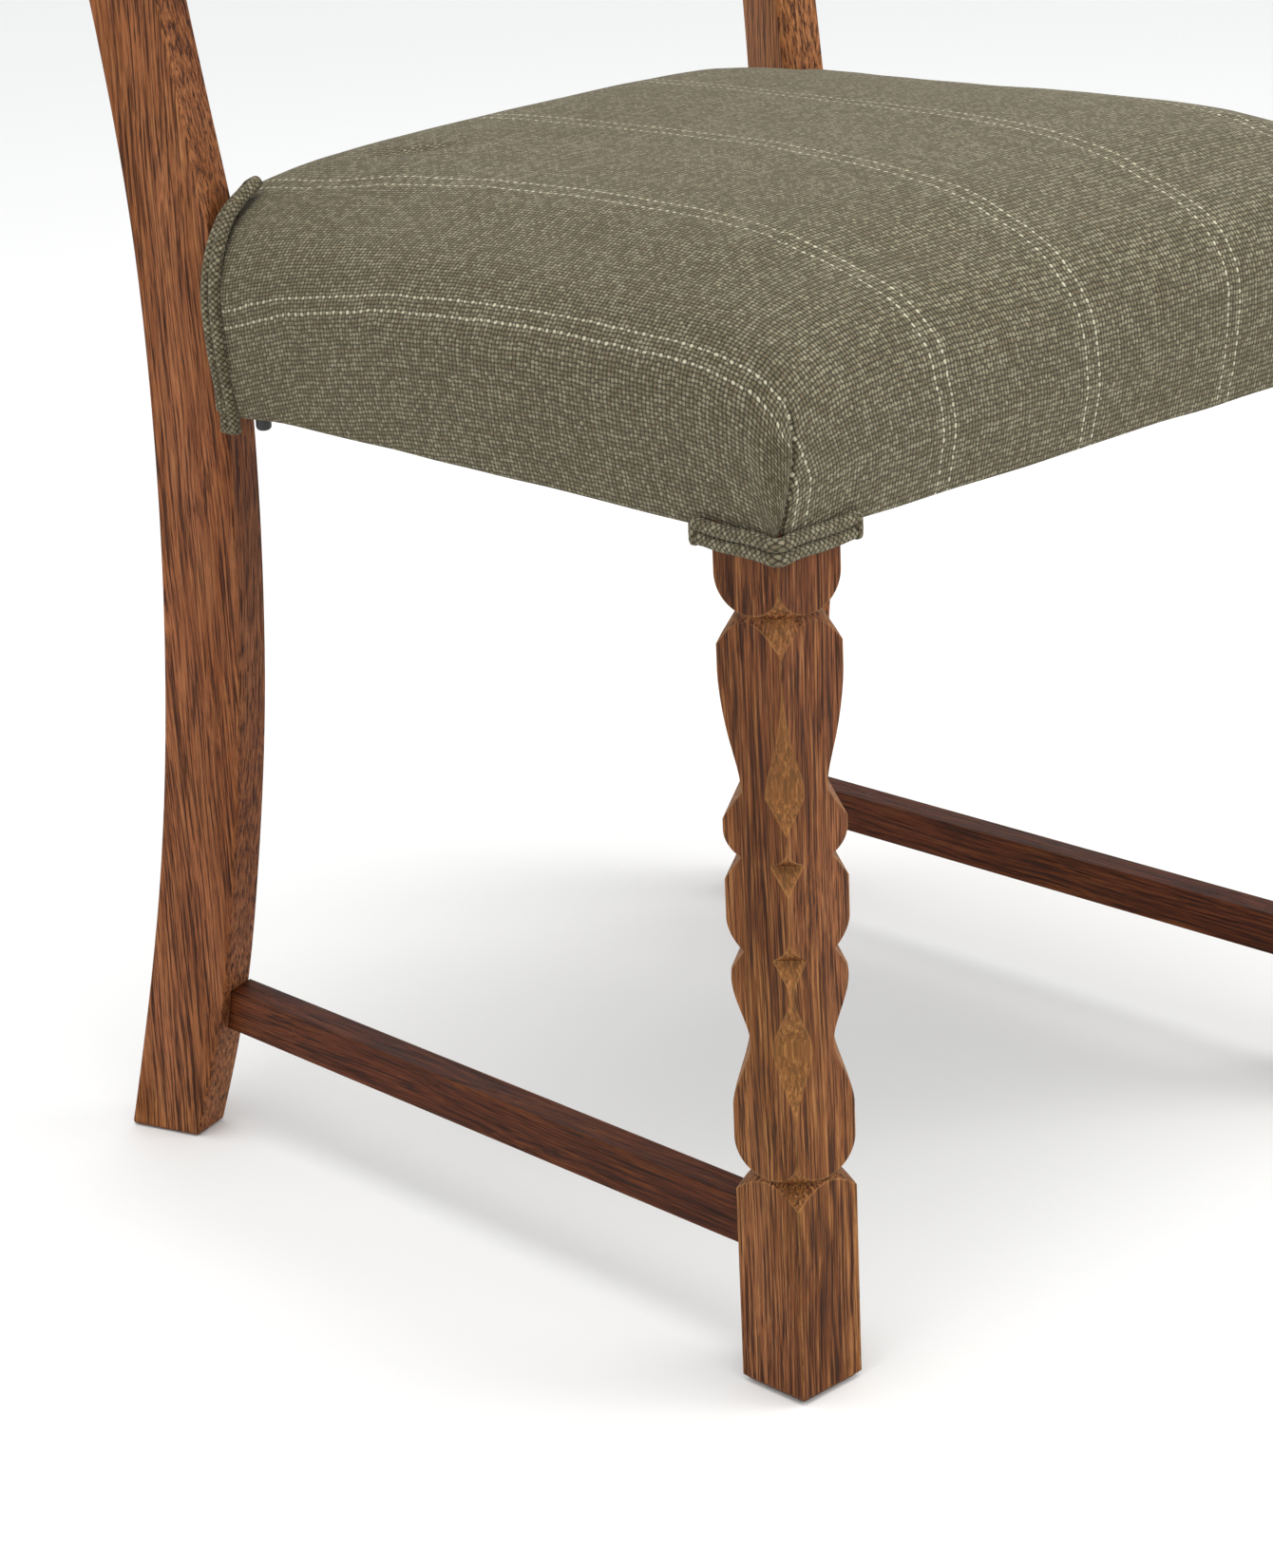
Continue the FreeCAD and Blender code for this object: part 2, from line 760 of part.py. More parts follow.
def dust_cover():
    top = seat_low() - layer_gap
    rear = post_distance + rear_rail_step + rail_thickness
    front_x = seat_side(dust_inset) - dust_inset
    rear_x = seat_side(rear) - dust_inset
    sheet = prism([(front_x, dust_inset), (rear_x, rear - dust_inset), (-rear_x, rear - dust_inset),
                   (-front_x, dust_inset)], top - dust_sheet, top)
    leg = Part.makeBox(100, 100, 100, point(half_front - leg_square - 2, -98 + leg_square, top - 50))
    return cut_both(cut_both(sheet, leg), post_notch(2.0))


def staples():
    group = []
    top = seat_low() - layer_gap - dust_sheet - 0.05
    inset = dust_inset + 4
    rear = post_distance + rear_rail_step + rail_thickness - inset
    count = 8
    for index in range(count):
        x = (index - (count - 1) / 2) * (2 * half_front - 2 * leg_square - 60) / count
        for y in (inset, rear):
            group.append(bar((x - staple_length / 2, y), (x + staple_length / 2, y), staple_wire,
                             top - staple_wire, top))
        y = leg_square + 30 + index * (post_distance - leg_square - 90) / (count - 1)
        for side in (-1, 1):
            x = side * (seat_side(y) - inset)
            group.append(bar((x, y - staple_length / 2), (x, y + staple_length / 2), staple_wire,
                             top - staple_wire, top))
    return group


def bolt_caps():
    # domed cap of the bolt that comes up into the side rail
    x, y = cap_spot()
    bottom = seat_low() - 0.3 - cap_height
    shank = Part.makeCylinder(bolt_radius, bolt_length - 2 + cap_height, point(x, y, bottom + 1))
    cap = Part.makeCylinder(cap_radius, cap_height, point(x, y, bottom))
    rim = [edge for edge in cap.Edges if edge.BoundBox.ZMax < bottom + 0.01]
    return cap.makeFillet(cap_radius * 0.6, rim).fuse(shank)


def build():
    nodes = {}
    rear_leg = post_place(rear_leg_blank())
    front_leg = front_leg_blank()
    low = rail_bottom + tenon_shoulder
    high = rail_top - tenon_shoulder
    side_rail, front_mortise, rear_mortise = side_member(
        side_rail_line(), rail_thickness, rail_bottom, rail_top, tenon_thickness, low, high,
        rear_tenon_offset)
    quarter = (stretcher_height - stretcher_tenon) / 2
    stretcher, front_socket, rear_socket = side_member(
        stretcher_line(), stretcher_width, stretcher_bottom, stretcher_bottom + stretcher_height,
        stretcher_tenon, stretcher_bottom + quarter, stretcher_bottom + stretcher_height - quarter,
        0.0)
    front_rail, front_rail_mortise = front_rail_parts()
    rear_rail, rear_rail_mortise = rear_rail_parts()
    for tool in (front_mortise, front_socket, front_rail_mortise):
        front_leg = front_leg.cut(tool)
    for tool in (rear_mortise, rear_socket, rear_rail_mortise):
        rear_leg = rear_leg.cut(tool)
    boards = back_boards()
    for name, bottom, height, arch, thickness in boards:
        nodes[name] = slat(bottom, height, arch, thickness, 0.0, 0.0)
        rear_leg = rear_leg.cut(slat(bottom, height, arch, thickness, joint_gap, 1.0))
    nodes.update(pair("front_leg", front_leg))
    nodes.update(pair("rear_leg", rear_leg))
    nodes.update(pair("side_stretcher", stretcher))

    holes = screws(0.15)
    nails = tacks(0.1)
    for hole in holes:
        front_rail = cut_both(front_rail, hole)
        rear_rail = cut_both(rear_rail, hole)
        side_rail = side_rail.cut(hole)
    side_rail = side_rail.cut(bolt_hole(joint_gap))
    nail_group = Part.makeCompound(nails)
    nodes["front_rail"] = front_rail.cut(nail_group)
    nodes["rear_rail"] = rear_rail.cut(nail_group)
    nodes.update(pair("side_rail", side_rail.cut(nail_group)))
    for name, outline in (("front", front_block_outline()), ("rear", rear_block_outline())):
        block = prism(outline, block_bottom(), block_bottom() + block_height)
        for hole in holes:
            block = block.cut(hole)
        nodes.update(pair("corner_block_" + name, block))
    left_screws = screws(0)
    nodes["corner_block_screws"] = Part.makeCompound(left_screws + [mirrored(one) for one in left_screws])
    lines, across = strap_lines()
    nodes["webbing_front_to_back"] = Part.makeCompound(straps(lines, 0)).cut(nail_group)
    nodes["webbing_side_to_side"] = Part.makeCompound(straps(across, 1)).cut(nail_group)
    nodes["webbing_tacks"] = Part.makeCompound(tacks(0))
    nodes["hessian_sheet"] = hessian_sheet()
    nodes["foam_pad"] = foam_pad()
    nodes["wadding_layer"] = wadding_layer()
    nodes["seat_cover"] = seat_cover()
    nodes.update(pair("front_welt", front_welt()))
    nodes.update(pair("rear_welt", rear_welt()))
    nodes["dust_cover"] = dust_cover()
    nodes["dust_cover_staples"] = Part.makeCompound(staples())
    cap = bolt_caps()
    nodes["bolt_caps"] = Part.makeCompound([cap, mirrored(cap)])
    return nodes


def main():
    os.makedirs("parts", exist_ok=True)
    nodes = build()
    box = Part.makeCompound(list(nodes.values())).optimalBoundingBox(False, False)
    middle = (box.YMin + box.YMax) / 2
    for name, shape in nodes.items():
        shape.translate(point(0, -middle, 0))
        shape.exportStep("parts/" + name + ".step")
        print(name, "solids", len(shape.Solids), "valid", shape.isValid(), "volume", round(shape.Volume))
    print("size", round(box.XLength, 1), round(box.YLength, 1), round(box.ZLength, 1), "shift", round(middle, 2))


main()
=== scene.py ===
import math
import bmesh
import bpy
import numpy as np
from mathutils import Matrix, Vector, noise


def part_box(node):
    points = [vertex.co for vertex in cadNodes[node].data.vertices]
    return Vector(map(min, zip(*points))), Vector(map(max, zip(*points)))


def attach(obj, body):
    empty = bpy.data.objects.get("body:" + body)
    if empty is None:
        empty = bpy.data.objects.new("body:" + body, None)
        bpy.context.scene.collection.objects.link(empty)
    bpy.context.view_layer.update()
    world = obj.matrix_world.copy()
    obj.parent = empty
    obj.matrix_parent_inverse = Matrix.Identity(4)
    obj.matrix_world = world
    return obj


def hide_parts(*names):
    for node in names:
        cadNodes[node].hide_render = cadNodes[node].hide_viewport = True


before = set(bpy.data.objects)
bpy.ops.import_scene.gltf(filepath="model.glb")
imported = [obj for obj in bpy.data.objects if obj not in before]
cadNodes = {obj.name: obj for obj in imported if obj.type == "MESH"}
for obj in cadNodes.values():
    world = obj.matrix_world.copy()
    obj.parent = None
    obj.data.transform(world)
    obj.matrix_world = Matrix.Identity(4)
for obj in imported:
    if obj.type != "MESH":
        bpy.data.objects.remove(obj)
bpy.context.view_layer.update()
scene = bpy.context.scene
print("frame loaded,", len(cadNodes), "nodes")


# camera, light and floor

camera = {
    "place": (-1.2022, -1.1989, 0.7652),
    "turn": -43.43,     # degrees, 0 looks along +Y
    "pitch": 19.5,      # degrees below level
    "roll": -2.63,
    "lens": 84.37,
}


def aimedMatrix(place, turn, pitch, roll):
    a, e, r = (math.radians(v) for v in (turn, pitch, roll))
    ahead = Vector((-math.sin(a) * math.cos(e), math.cos(a) * math.cos(e), -math.sin(e)))
    across = Vector((math.cos(a), math.sin(a), 0))
    upward = across.cross(ahead)
    right = math.cos(r) * across + math.sin(r) * upward
    top = -math.sin(r) * across + math.cos(r) * upward
    matrix = Matrix((right, top, -ahead)).transposed().to_4x4()
    matrix.translation = Vector(place)
    return matrix


def makeCamera():
    data = bpy.data.cameras.new("camera")
    data.sensor_width = 36
    data.lens = camera["lens"]
    data.clip_start = 0.05
    eye = bpy.data.objects.new("camera", data)
    eye.matrix_world = aimedMatrix(camera["place"], camera["turn"], camera["pitch"], camera["roll"])
    scene.collection.objects.link(eye)
    scene.camera = eye


studio = {
    "floorSize": 60.0,
    "floorLevel": -0.0006,     # just under the feet
    "floorColour": (0.86, 0.86, 0.85),
    "air": (0.975, 0.985, 1.0),
    "airStrength": 0.98,
    # place, aimed at, width and height, watts, colour
    "lamps": {
        "overhead": ((-0.3, -0.5, 2.9), (0.0, 0.0, 0.3), (2.6, 2.2), 46, (1.0, 0.985, 0.96)),
        "frontRight": ((1.9, -2.4, 1.5), (0.0, -0.1, 0.35), (1.6, 1.8), 34, (1.0, 0.98, 0.94)),
        "left": ((-2.7, -0.3, 1.2), (0.0, 0.0, 0.4), (1.4, 1.6), 5, (1.0, 0.985, 0.96)),
    },
}


def makeStudio():
    size = studio["floorSize"]
    mesh = bpy.data.meshes.new("floor")
    corners = [(x * size, y * size, studio["floorLevel"])
               for x, y in ((-1, -1), (1, -1), (1, 1), (-1, 1))]
    mesh.from_pydata(corners, [], [(0, 1, 2, 3)])
    floor = bpy.data.objects.new("floor", mesh)
    scene.collection.objects.link(floor)
    paint = bpy.data.materials.new("paleFloor")
    paint.use_nodes = True
    shader = paint.node_tree.nodes["Principled BSDF"]
    shader.inputs["Base Color"].default_value = (*studio["floorColour"], 1)
    shader.inputs["Roughness"].default_value = 0.75
    mesh.materials.append(paint)
    world = bpy.data.worlds.new("studioAir")
    world.use_nodes = True
    sky = world.node_tree.nodes["Background"]
    sky.inputs["Color"].default_value = (*studio["air"], 1)
    sky.inputs["Strength"].default_value = studio["airStrength"]
    scene.world = world
    for name, (place, target, span, power, colour) in studio["lamps"].items():
        data = bpy.data.lights.new(name, "AREA")
        data.shape = "RECTANGLE"
        data.size, data.size_y = span
        data.energy = power
        data.color = colour
        lamp = bpy.data.objects.new(name, data)
        lamp.location = place
        lamp.rotation_mode = "QUATERNION"
        lamp.rotation_quaternion = (Vector(target) - Vector(place)).to_track_quat("-Z", "Y")
        scene.collection.objects.link(lamp)
    scene.view_settings.view_transform = "Standard"


makeCamera()
makeStudio()
print("camera and studio ready")


# material helpers

def tone(red, green, blue):
    # screen colour 0-255 to the linear colour a shader wants
    parts = [c / 255 for c in (red, green, blue)]
    return (*(c / 12.92 if c <= 0.04045 else ((c + 0.055) / 1.055) ** 2.4 for c in parts), 1.0)


class Graph:
    # a small hand for wiring nodes
    def __init__(self, tree):
        self.nodes, self.links = tree.nodes, tree.links

    def add(self, kind, settings=None, **sockets):
        node = self.nodes.new(kind)
        for key, value in (settings or {}).items():
            setattr(node, key, value)
        for key, value in sockets.items():
            self.put(node, key.replace("_", " "), value)
        return node

    def put(self, node, key, value):
        # key: a socket's name, or i and its number
        numbered = key[0] == "i" and key[1:].isdigit()
        socket = node.inputs[int(key[1:])] if numbered else node.inputs[key]
        if isinstance(value, bpy.types.NodeSocket):
            self.links.new(value, socket)
        else:
            socket.default_value = value

    def maths(self, how, first, second=0.0, third=0.0):
        return self.add("ShaderNodeMath", {"operation": how}, i0=first, i1=second, i2=third).outputs[0]

    def times(self, first, second):
        return self.maths("MULTIPLY", first, second)

    def plus(self, first, second):
        return self.maths("ADD", first, second)


class Tree(Graph):
    # a material and its nodes
    def __init__(self, name):
        self.material = bpy.data.materials.new(name)
        self.material.use_nodes = True
        super().__init__(self.material.node_tree)
        self.shader = self.nodes["Principled BSDF"]
        self.place = self.add("ShaderNodeTexCoord").outputs["Object"]

    def smooth(self, value, low, high, start=0.0, end=1.0):
        return self.add("ShaderNodeMapRange", {"interpolation_type": "SMOOTHSTEP"}, Value=value,
                        From_Min=low, From_Max=high, To_Min=start, To_Max=end).outputs[0]

    def mix(self, share, first, second):
        return self.add("ShaderNodeMix", {"data_type": "RGBA"}, i0=share, i6=first, i7=second).outputs[2]

    def pick(self, share, first, second):
        return self.add("ShaderNodeMix", {"data_type": "FLOAT"}, i0=share, i2=first, i3=second).outputs[0]

    def noise(self, place, scale, detail=2.0, rough=0.5, result=0):
        return self.add("ShaderNodeTexNoise", Vector=place, Scale=scale, Detail=detail,
                        Roughness=rough).outputs[result]

    def vector(self, how, first, second=(0, 0, 0), result=0):
        return self.add("ShaderNodeVectorMath", {"operation": how}, i0=first, i1=second).outputs[result]

    def sway(self, place, scale, detail, rough, size):
        # a random shift of up to half that size each way
        centred = self.vector("SUBTRACT", self.noise(place, scale, detail, rough, 1), (0.5, 0.5, 0.5))
        return self.add("ShaderNodeVectorMath", {"operation": "SCALE"}, i0=centred, Scale=size).outputs[0]

    def stretched(self, place, factors, turn=(0, 0, 0), shift=(0, 0, 0)):
        return self.add("ShaderNodeMapping", Vector=place, Scale=factors, Rotation=turn,
                        Location=shift).outputs[0]

    def bump(self, height, strength, depth):
        return self.add("ShaderNodeBump", Height=height, Strength=strength, Distance=depth)

    def finished(self, colour, rough, bump, fixed=None):
        self.put(self.shader, "Base Color", colour)
        self.put(self.shader, "Roughness", rough)
        self.put(self.shader, "Normal", bump.outputs[0])
        for key, value in (fixed or {}).items():
            self.shader.inputs[key].default_value = value
        return self.material


# wood

oak = {
    "early": tone(150, 90, 46),        # wide pale part of a ring
    "late": tone(108, 59, 26),         # dense dark line of a ring
    "pore": tone(42, 19, 7),
    "worn": tone(182, 128, 76),
    "ringPitch": 0.0042,
    "ringWobble": 0.006,
    "poreLength": 0.022,
    "poreWidth": 0.00042,
    "wear": 0.55,
    "edge": 0.0014,
    "carved": 0.0,                     # painted highlight: how much paler the slanted carved facets are drawn
}
darkOak = dict(oak, early=tone(102, 46, 10), late=tone(75, 31, 6), pore=tone(33, 13, 2),
               worn=tone(118, 68, 26))
postOak = dict(oak, early=tone(160, 98, 52), late=tone(124, 72, 36), ringPitch=0.0050)
legOak = dict(oak, early=tone(140, 83, 38), late=tone(100, 55, 21), pore=tone(42, 19, 5),
              worn=tone(188, 136, 80), wear=0.7, carved=0.2)
beech = dict(oak, early=tone(198, 164, 124), late=tone(178, 140, 100), pore=tone(140, 100, 66),
             worn=tone(214, 186, 150), poreLength=0.006, poreWidth=0.0005, wear=0.3)


def woodMaterial(name, look, along, heart, seed):
    # along: the turn that brings the grain upright; heart: where the tree's middle lies
    t = Tree(name)
    upright = t.stretched(t.place, (1, 1, 1), along, heart)
    wobble = t.sway(t.stretched(upright, (9, 9, 2.2), shift=(seed, seed * 2, 0)), 1.0, 3.0, 0.55,
                    look["ringWobble"] * 4)
    bent = t.vector("ADD", upright, wobble)
    radius = t.vector("LENGTH", t.stretched(bent, (1, 1, 0)), result=1)
    ring = t.maths("FRACT", t.maths("DIVIDE", radius, look["ringPitch"]))
    dark = t.times(t.smooth(ring, 0.35, 0.9), t.smooth(ring, 1.0, 0.93))
    porous = t.smooth(ring, 0.62, 0.08, 0.25, 1.0)
    across = 1 / look["poreWidth"]
    lengthwise = 1 / look["poreLength"]

    def fibres(wide, long, detail, rough, shift=(0, 0, 0), scale=1.0):
        # noise drawn out along the grain
        factors = (across * wide, across * wide, lengthwise * long)
        return t.noise(t.stretched(bent, factors, shift=shift), scale, detail, rough)

    pore = t.times(t.smooth(fibres(1, 1, 2.0, 0.6, (seed * 3, 0, seed), 0.5), 0.5, 0.62), porous)
    fine = fibres(0.8, 2.5, 2.0, 0.6)
    vein = fibres(0.36, 0.42, 3.0, 0.65, (0, seed, 0))
    broad = t.noise(t.stretched(bent, (34, 34, 5), shift=(0, seed, 0)), 1.0, 3.0, 0.6)
    patch = t.noise(t.stretched(upright, (7, 7, 4), shift=(seed, 0, 0)), 1.0, 2.0, 0.5)
    colour = t.mix(t.smooth(broad, 0.3, 0.7), look["late"], look["early"])
    colour = t.mix(t.times(dark, 0.62), colour, look["late"])
    colour = t.mix(t.smooth(vein, 0.5, 0.61, 0.0, 0.85), colour, look["pore"])
    colour = t.mix(t.smooth(vein, 0.48, 0.36, 0.0, 0.42), colour, look["worn"])
    colour = t.mix(t.smooth(fine, 0.42, 0.7, 0.0, 0.4), colour, look["pore"])
    colour = t.mix(t.times(pore, 0.82), colour, look["pore"])
    colour = t.add("ShaderNodeHueSaturation", Color=colour,
                   Value=t.smooth(patch, 0.3, 0.7, 0.86, 1.13),
                   Saturation=t.smooth(broad, 0.2, 0.8, 1.04, 0.94),
                   Hue=t.smooth(patch, 0.25, 0.75, 0.494, 0.506)).outputs[0]
    # eased, rubbed edges, and painted shade darkening the corners
    eased = t.add("ShaderNodeBevel", {"samples": 6}, Radius=look["edge"]).outputs[0]
    surface = t.add("ShaderNodeNewGeometry").outputs["True Normal"]
    edge = t.smooth(t.vector("DOT_PRODUCT", eased, surface, 1), 0.995, 0.86)
    rubbed = t.times(edge, t.smooth(t.noise(t.place, 60.0, 3.0, 0.6), 0.38, 0.6, 0.25, 1.0))
    shade = t.add("ShaderNodeAmbientOcclusion", {"samples": 6}, Distance=0.012).outputs["AO"]
    # painted highlight: facets cut aslant across the leg's corner are drawn paler
    parts = t.add("ShaderNodeSeparateXYZ", Vector=surface)
    slant = t.maths("ABSOLUTE", t.times(parts.outputs[0], parts.outputs[1]))
    colour = t.mix(t.smooth(slant, 0.18, 0.4, 0.0, look["carved"]), colour, look["worn"])
    # painted shade: corners and hollows found by ambient occlusion are darkened towards dark wood
    paintedCornerShade = t.mix(0.35, look["pore"], look["late"])
    colour = t.mix(t.smooth(shade, 0.75, 0.25, 0.0, 0.35), colour, paintedCornerShade)
    wear = t.times(t.times(rubbed, t.smooth(shade, 0.5, 0.8)), look["wear"])
    colour = t.mix(wear, colour, look["worn"])
    rough = t.plus(t.smooth(broad, 0.2, 0.8, 0.5, 0.62), t.times(pore, 0.2))
    relief = t.plus(t.times(pore, -1.0), t.times(dark, 0.25))
    relief = t.bump(t.plus(relief, t.times(fine, -0.35)), 0.55, 0.00028)
    t.put(relief, "Normal", eased)
    return t.finished(colour, rough, relief, {"Specular IOR Level": 0.15})


upright = (0, 0, 0)
crosswise = (0, math.radians(90), 0)      # grain along X
lengthways = (math.radians(90), 0, 0)     # grain along Y
# material look, grain direction, heart of the tree (after the turn), seed
boards = {
    "front_leg_left": (legOak, upright, (-0.168, 0.262, 0), 1.3),
    "front_leg_right": (legOak, upright, (0.178, 0.212, 0), 2.7),
    "rear_leg_left": (postOak, upright, (-0.10, -0.2, 0), 4.1),
    "rear_leg_right": (postOak, upright, (0.12, -0.21, 0), 5.9),
    "side_stretcher_left": (darkOak, lengthways, (-0.16, 0.05, 0), 7.7),
    "side_stretcher_right": (darkOak, lengthways, (0.15, -0.01, 0), 8.3),
    "back_slat_lower": (oak, crosswise, (0.5, -0.15, 0), 9.2),
    "back_slat_middle": (oak, crosswise, (0.64, -0.14, 0), 10.6),
    "back_slat_upper": (oak, crosswise, (0.85, -0.16, 0), 11.4),
    "crest_rail": (oak, crosswise, (0.82, -0.18, 0), 12.8),
    "front_rail": (beech, crosswise, (0.3, 0.2, 0), 13.1),
    "rear_rail": (beech, crosswise, (0.32, -0.18, 0), 14.5),
    "side_rail_left": (beech, lengthways, (-0.15, 0.3, 0), 15.2),
    "side_rail_right": (beech, lengthways, (0.16, 0.31, 0), 16.6),
    "corner_block_front_left": (beech, crosswise, (0.3, 0.25, 0), 17.3),
    "corner_block_front_right": (beech, crosswise, (0.31, 0.2, 0), 18.9),
    "corner_block_rear_left": (beech, crosswise, (0.3, -0.1, 0), 19.5),
    "corner_block_rear_right": (beech, crosswise, (0.3, -0.12, 0), 20.1),
}


def smoothShown(node):
    # joins the loose triangles for shading, with crisp edges kept
    for polygon in node.data.polygons:
        polygon.use_smooth = True
    weld = node.modifiers.new("weld", "WELD")
    weld.merge_threshold = 0.00001
    split = node.modifiers.new("edges", "EDGE_SPLIT")
    split.split_angle = math.radians(24)


def paint(node, material):
    node.data.materials.clear()
    node.data.materials.append(material)


for nodeName, (look, along, heart, seed) in boards.items():
    paint(cadNodes[nodeName], woodMaterial(nodeName + "Wood", look, along, heart, seed))
    smoothShown(cadNodes[nodeName])
print("wood ready")


# cloth

seatWeave = {
    "warpPitch": 0.00192,
    "weftPitch": 0.0023,
    "repeat": 49,              # warp yarns from stripe to stripe
    "firstStripe": -116,       # warp yarn of the first stripe
    "stripeGap": 4,
    # dark: painted shade in the gaps between the yarns, also used for the dark fibres
    "dark": tone(38, 34, 23),
    "mid": tone(104, 98, 74),
    "light": tone(151, 144, 118),
    "warm": tone(113, 98, 74),
    "stripe": tone(198, 192, 164),
    "turn": 0.0,
}
weltWeave = dict(seatWeave, repeat=0, turn=math.radians(45), mid=tone(108, 101, 78))


def weaveMaterial(name, look):
    # plain weave read from the piece's own flat pattern, in metres
    t = Tree(name)
    flat = t.add("ShaderNodeUVMap", {"uv_map": "weave"}).outputs[0]
    moved = t.vector("ADD", flat, t.sway(flat, 70.0, 2.0, 0.5, 0.0018))
    moved = t.vector("ADD", moved, t.sway(flat, 520.0, 1.0, 0.5, 0.0014))
    pitch = (1 / look["warpPitch"], 1 / look["weftPitch"], 1)
    counts = t.add("ShaderNodeSeparateXYZ", Vector=t.stretched(moved, pitch, (0, 0, look["turn"])))
    warp, weft = (t.maths("FLOOR", counts.outputs[k]) for k in (0, 1))
    over = t.maths("MODULO", t.maths("ABSOLUTE", t.plus(warp, weft)), 2.0)
    over = t.maths("GREATER_THAN", over, 0.5)
    roundWarp, roundWeft = (
        t.maths("COSINE", t.times(t.plus(t.maths("FRACT", counts.outputs[k]), -0.5), math.pi * 0.98))
        for k in (0, 1))

    def yarnTop(own, crossing):
        return t.times(t.maths("POWER", own, 0.7), t.plus(t.times(crossing, 0.62), 0.38))

    height = t.pick(over, yarnTop(roundWarp, roundWeft), t.times(yarnTop(roundWeft, roundWarp), 0.9))
    warpChance, weftChance = (
        t.add("ShaderNodeTexWhiteNoise", {"noise_dimensions": "1D"}, W=yarn).outputs[0]
        for yarn in (warp, t.plus(weft, 0.37)))
    chance = t.pick(over, warpChance, weftChance)
    cell = t.add("ShaderNodeTexWhiteNoise", {"noise_dimensions": "2D"},
                 Vector=t.add("ShaderNodeCombineXYZ", X=warp, Y=weft).outputs[0]).outputs[0]
    fibre = t.noise(t.stretched(moved, (2600, 2600, 1)), 1.0, 3.0, 0.7)
    slub = t.noise(t.stretched(flat, (35, 260, 1)), 1.0, 2.0, 0.6)
    cloudy = t.noise(t.place, 9.0, 3.0, 0.55)
    colour = t.mix(t.smooth(chance, 0.1, 0.95, 0.0, 0.75), look["mid"], look["warm"])
    lively = t.plus(t.times(cell, 0.55), t.times(slub, 0.6))
    colour = t.mix(t.smooth(lively, 0.4, 0.9, 0.0, 0.95), colour, look["light"])
    if look["repeat"]:
        count = t.maths("SUBTRACT", warp, float(look["firstStripe"]))
        phase = t.maths("FLOORED_MODULO", t.plus(count, 0.01), float(look["repeat"]))
        first, second = (t.maths("COMPARE", phase, float(yarn), 0.4) for yarn in (0, look["stripeGap"]))
        line = t.times(t.maths("MAXIMUM", first, second), t.pick(over, 1.0, 0.16))
        colour = t.mix(line, colour, look["stripe"])
    # painted shade: the low gaps between the yarns are darkened
    colour = t.mix(t.smooth(height, 0.3, 0.8, 0.9, 0.0), colour, look["dark"])
    colour = t.mix(t.smooth(fibre, 0.35, 0.7, 0.28, 0.0), colour, look["dark"])
    colour = t.add("ShaderNodeHueSaturation", Color=colour,
                   Value=t.smooth(cloudy, 0.3, 0.7, 0.95, 1.05),
                   Saturation=t.smooth(cloudy, 0.25, 0.75, 1.04, 0.96)).outputs[0]
    relief = t.bump(t.plus(height, t.times(fibre, 0.22)), 0.85, 0.0006)
    return t.finished(colour, t.smooth(fibre, 0.2, 0.8, 0.84, 0.97), relief, {
        "Specular IOR Level": 0.22, "Sheen Weight": 0.16, "Sheen Roughness": 0.6,
        "Sheen Tint": tone(225, 218, 195)})


# seat cover

seat = {
    "sink": 0.2455,            # row frame y of the legs' front face is minus this
    "halfFront": 0.219,
    "halfRear": 0.2047,
    "depth": 0.3645,           # legs' front face to the posts
    "middle": -0.04,           # where the cloth's rings start
    "bulge": 0.008,
    "rear": 0.1592,
    "low": 0.3757,
    "wallTop": 0.428,
    "hang": 0.005,             # the side cloth reaches lower beside the posts
    "hangReach": 0.035,
    "edgeWave": (22, 0.0011),
    "welted": 0.3778,          # lower edge behind the front welts
    "weltReach": 0.042,
    "weltBand": 0.019,
    "peak": 0.489,
    "lean": 0.016,             # the stuffing stands slightly higher on one side
    # radius of the roll, further fall, and how far in that fall reaches
    "sideFall": (0.020, 0.0395, 0.044),
    "frontFall": (0.020, 0.041, 0.046),
    "rearFall": (0.014, 0.037, 0.022),
    "fallBlend": 2.2,
    "mostDrop": 0.070,
    "tuck": 0.007,             # dip beside the posts
    "cornerRadius": 0.010,
    "lowerPull": 0.0074,       # how far the lower edge draws in under the fullest line
    "cutPull": 0.0004,         # the same along the cutouts
    "flap": 0.0165,            # cloth turned under the rails
    "thickness": 0.0013,
    "seam": 0.0012,
    "held": 12,                # rings below the crown that the simulation leaves alone
    "postTurn": 17.9,
    "postWidth": 0.0236,
    "postGap": 0.0015,
    "startSmaller": 0.0012,
    "cap": 0.0025,
    "postHold": (0.006, 0.03),
    # how often along X, Y and Z, a shift, and the height of each unevenness
    "ripples": ((11, 11, 13, 7, 0.0011), (42, 42, 30, 0, 0.00035)),
}

air = {
    "quality": 6,
    "mass": 0.25,
    "tension_stiffness": 40,
    "compression_stiffness": 40,
    "bending_stiffness": 2.5,
    "vertex_group_mass": "held",
    "use_pressure": True,
    "uniform_pressure_force": 4.0,
}

postCorner = np.array([seat["halfRear"], seat["depth"] - seat["sink"]])
postAngle = math.radians(90 - seat["postTurn"])
rearward = np.array([math.cos(postAngle), math.sin(postAngle)])
inward = np.array([-math.sin(postAngle), math.cos(postAngle)])


def sideLine(y):
    # outer faces of the legs, narrowing to the rear
    taper = (seat["halfRear"] - seat["halfFront"]) / seat["depth"]
    return seat["halfFront"] + taper * (y + seat["sink"])


def quarterRound(d, r):
    d = np.clip(d, 0, r)
    return np.sqrt(np.maximum(0, r * r - (r - d) ** 2))


def edgeDrop(d, radius, fall, reach):
    # how far the crown lies below its peak at this distance from an edge
    d = np.maximum(d, 0)
    return radius - quarterRound(d, radius) + fall * np.exp(-d / reach)


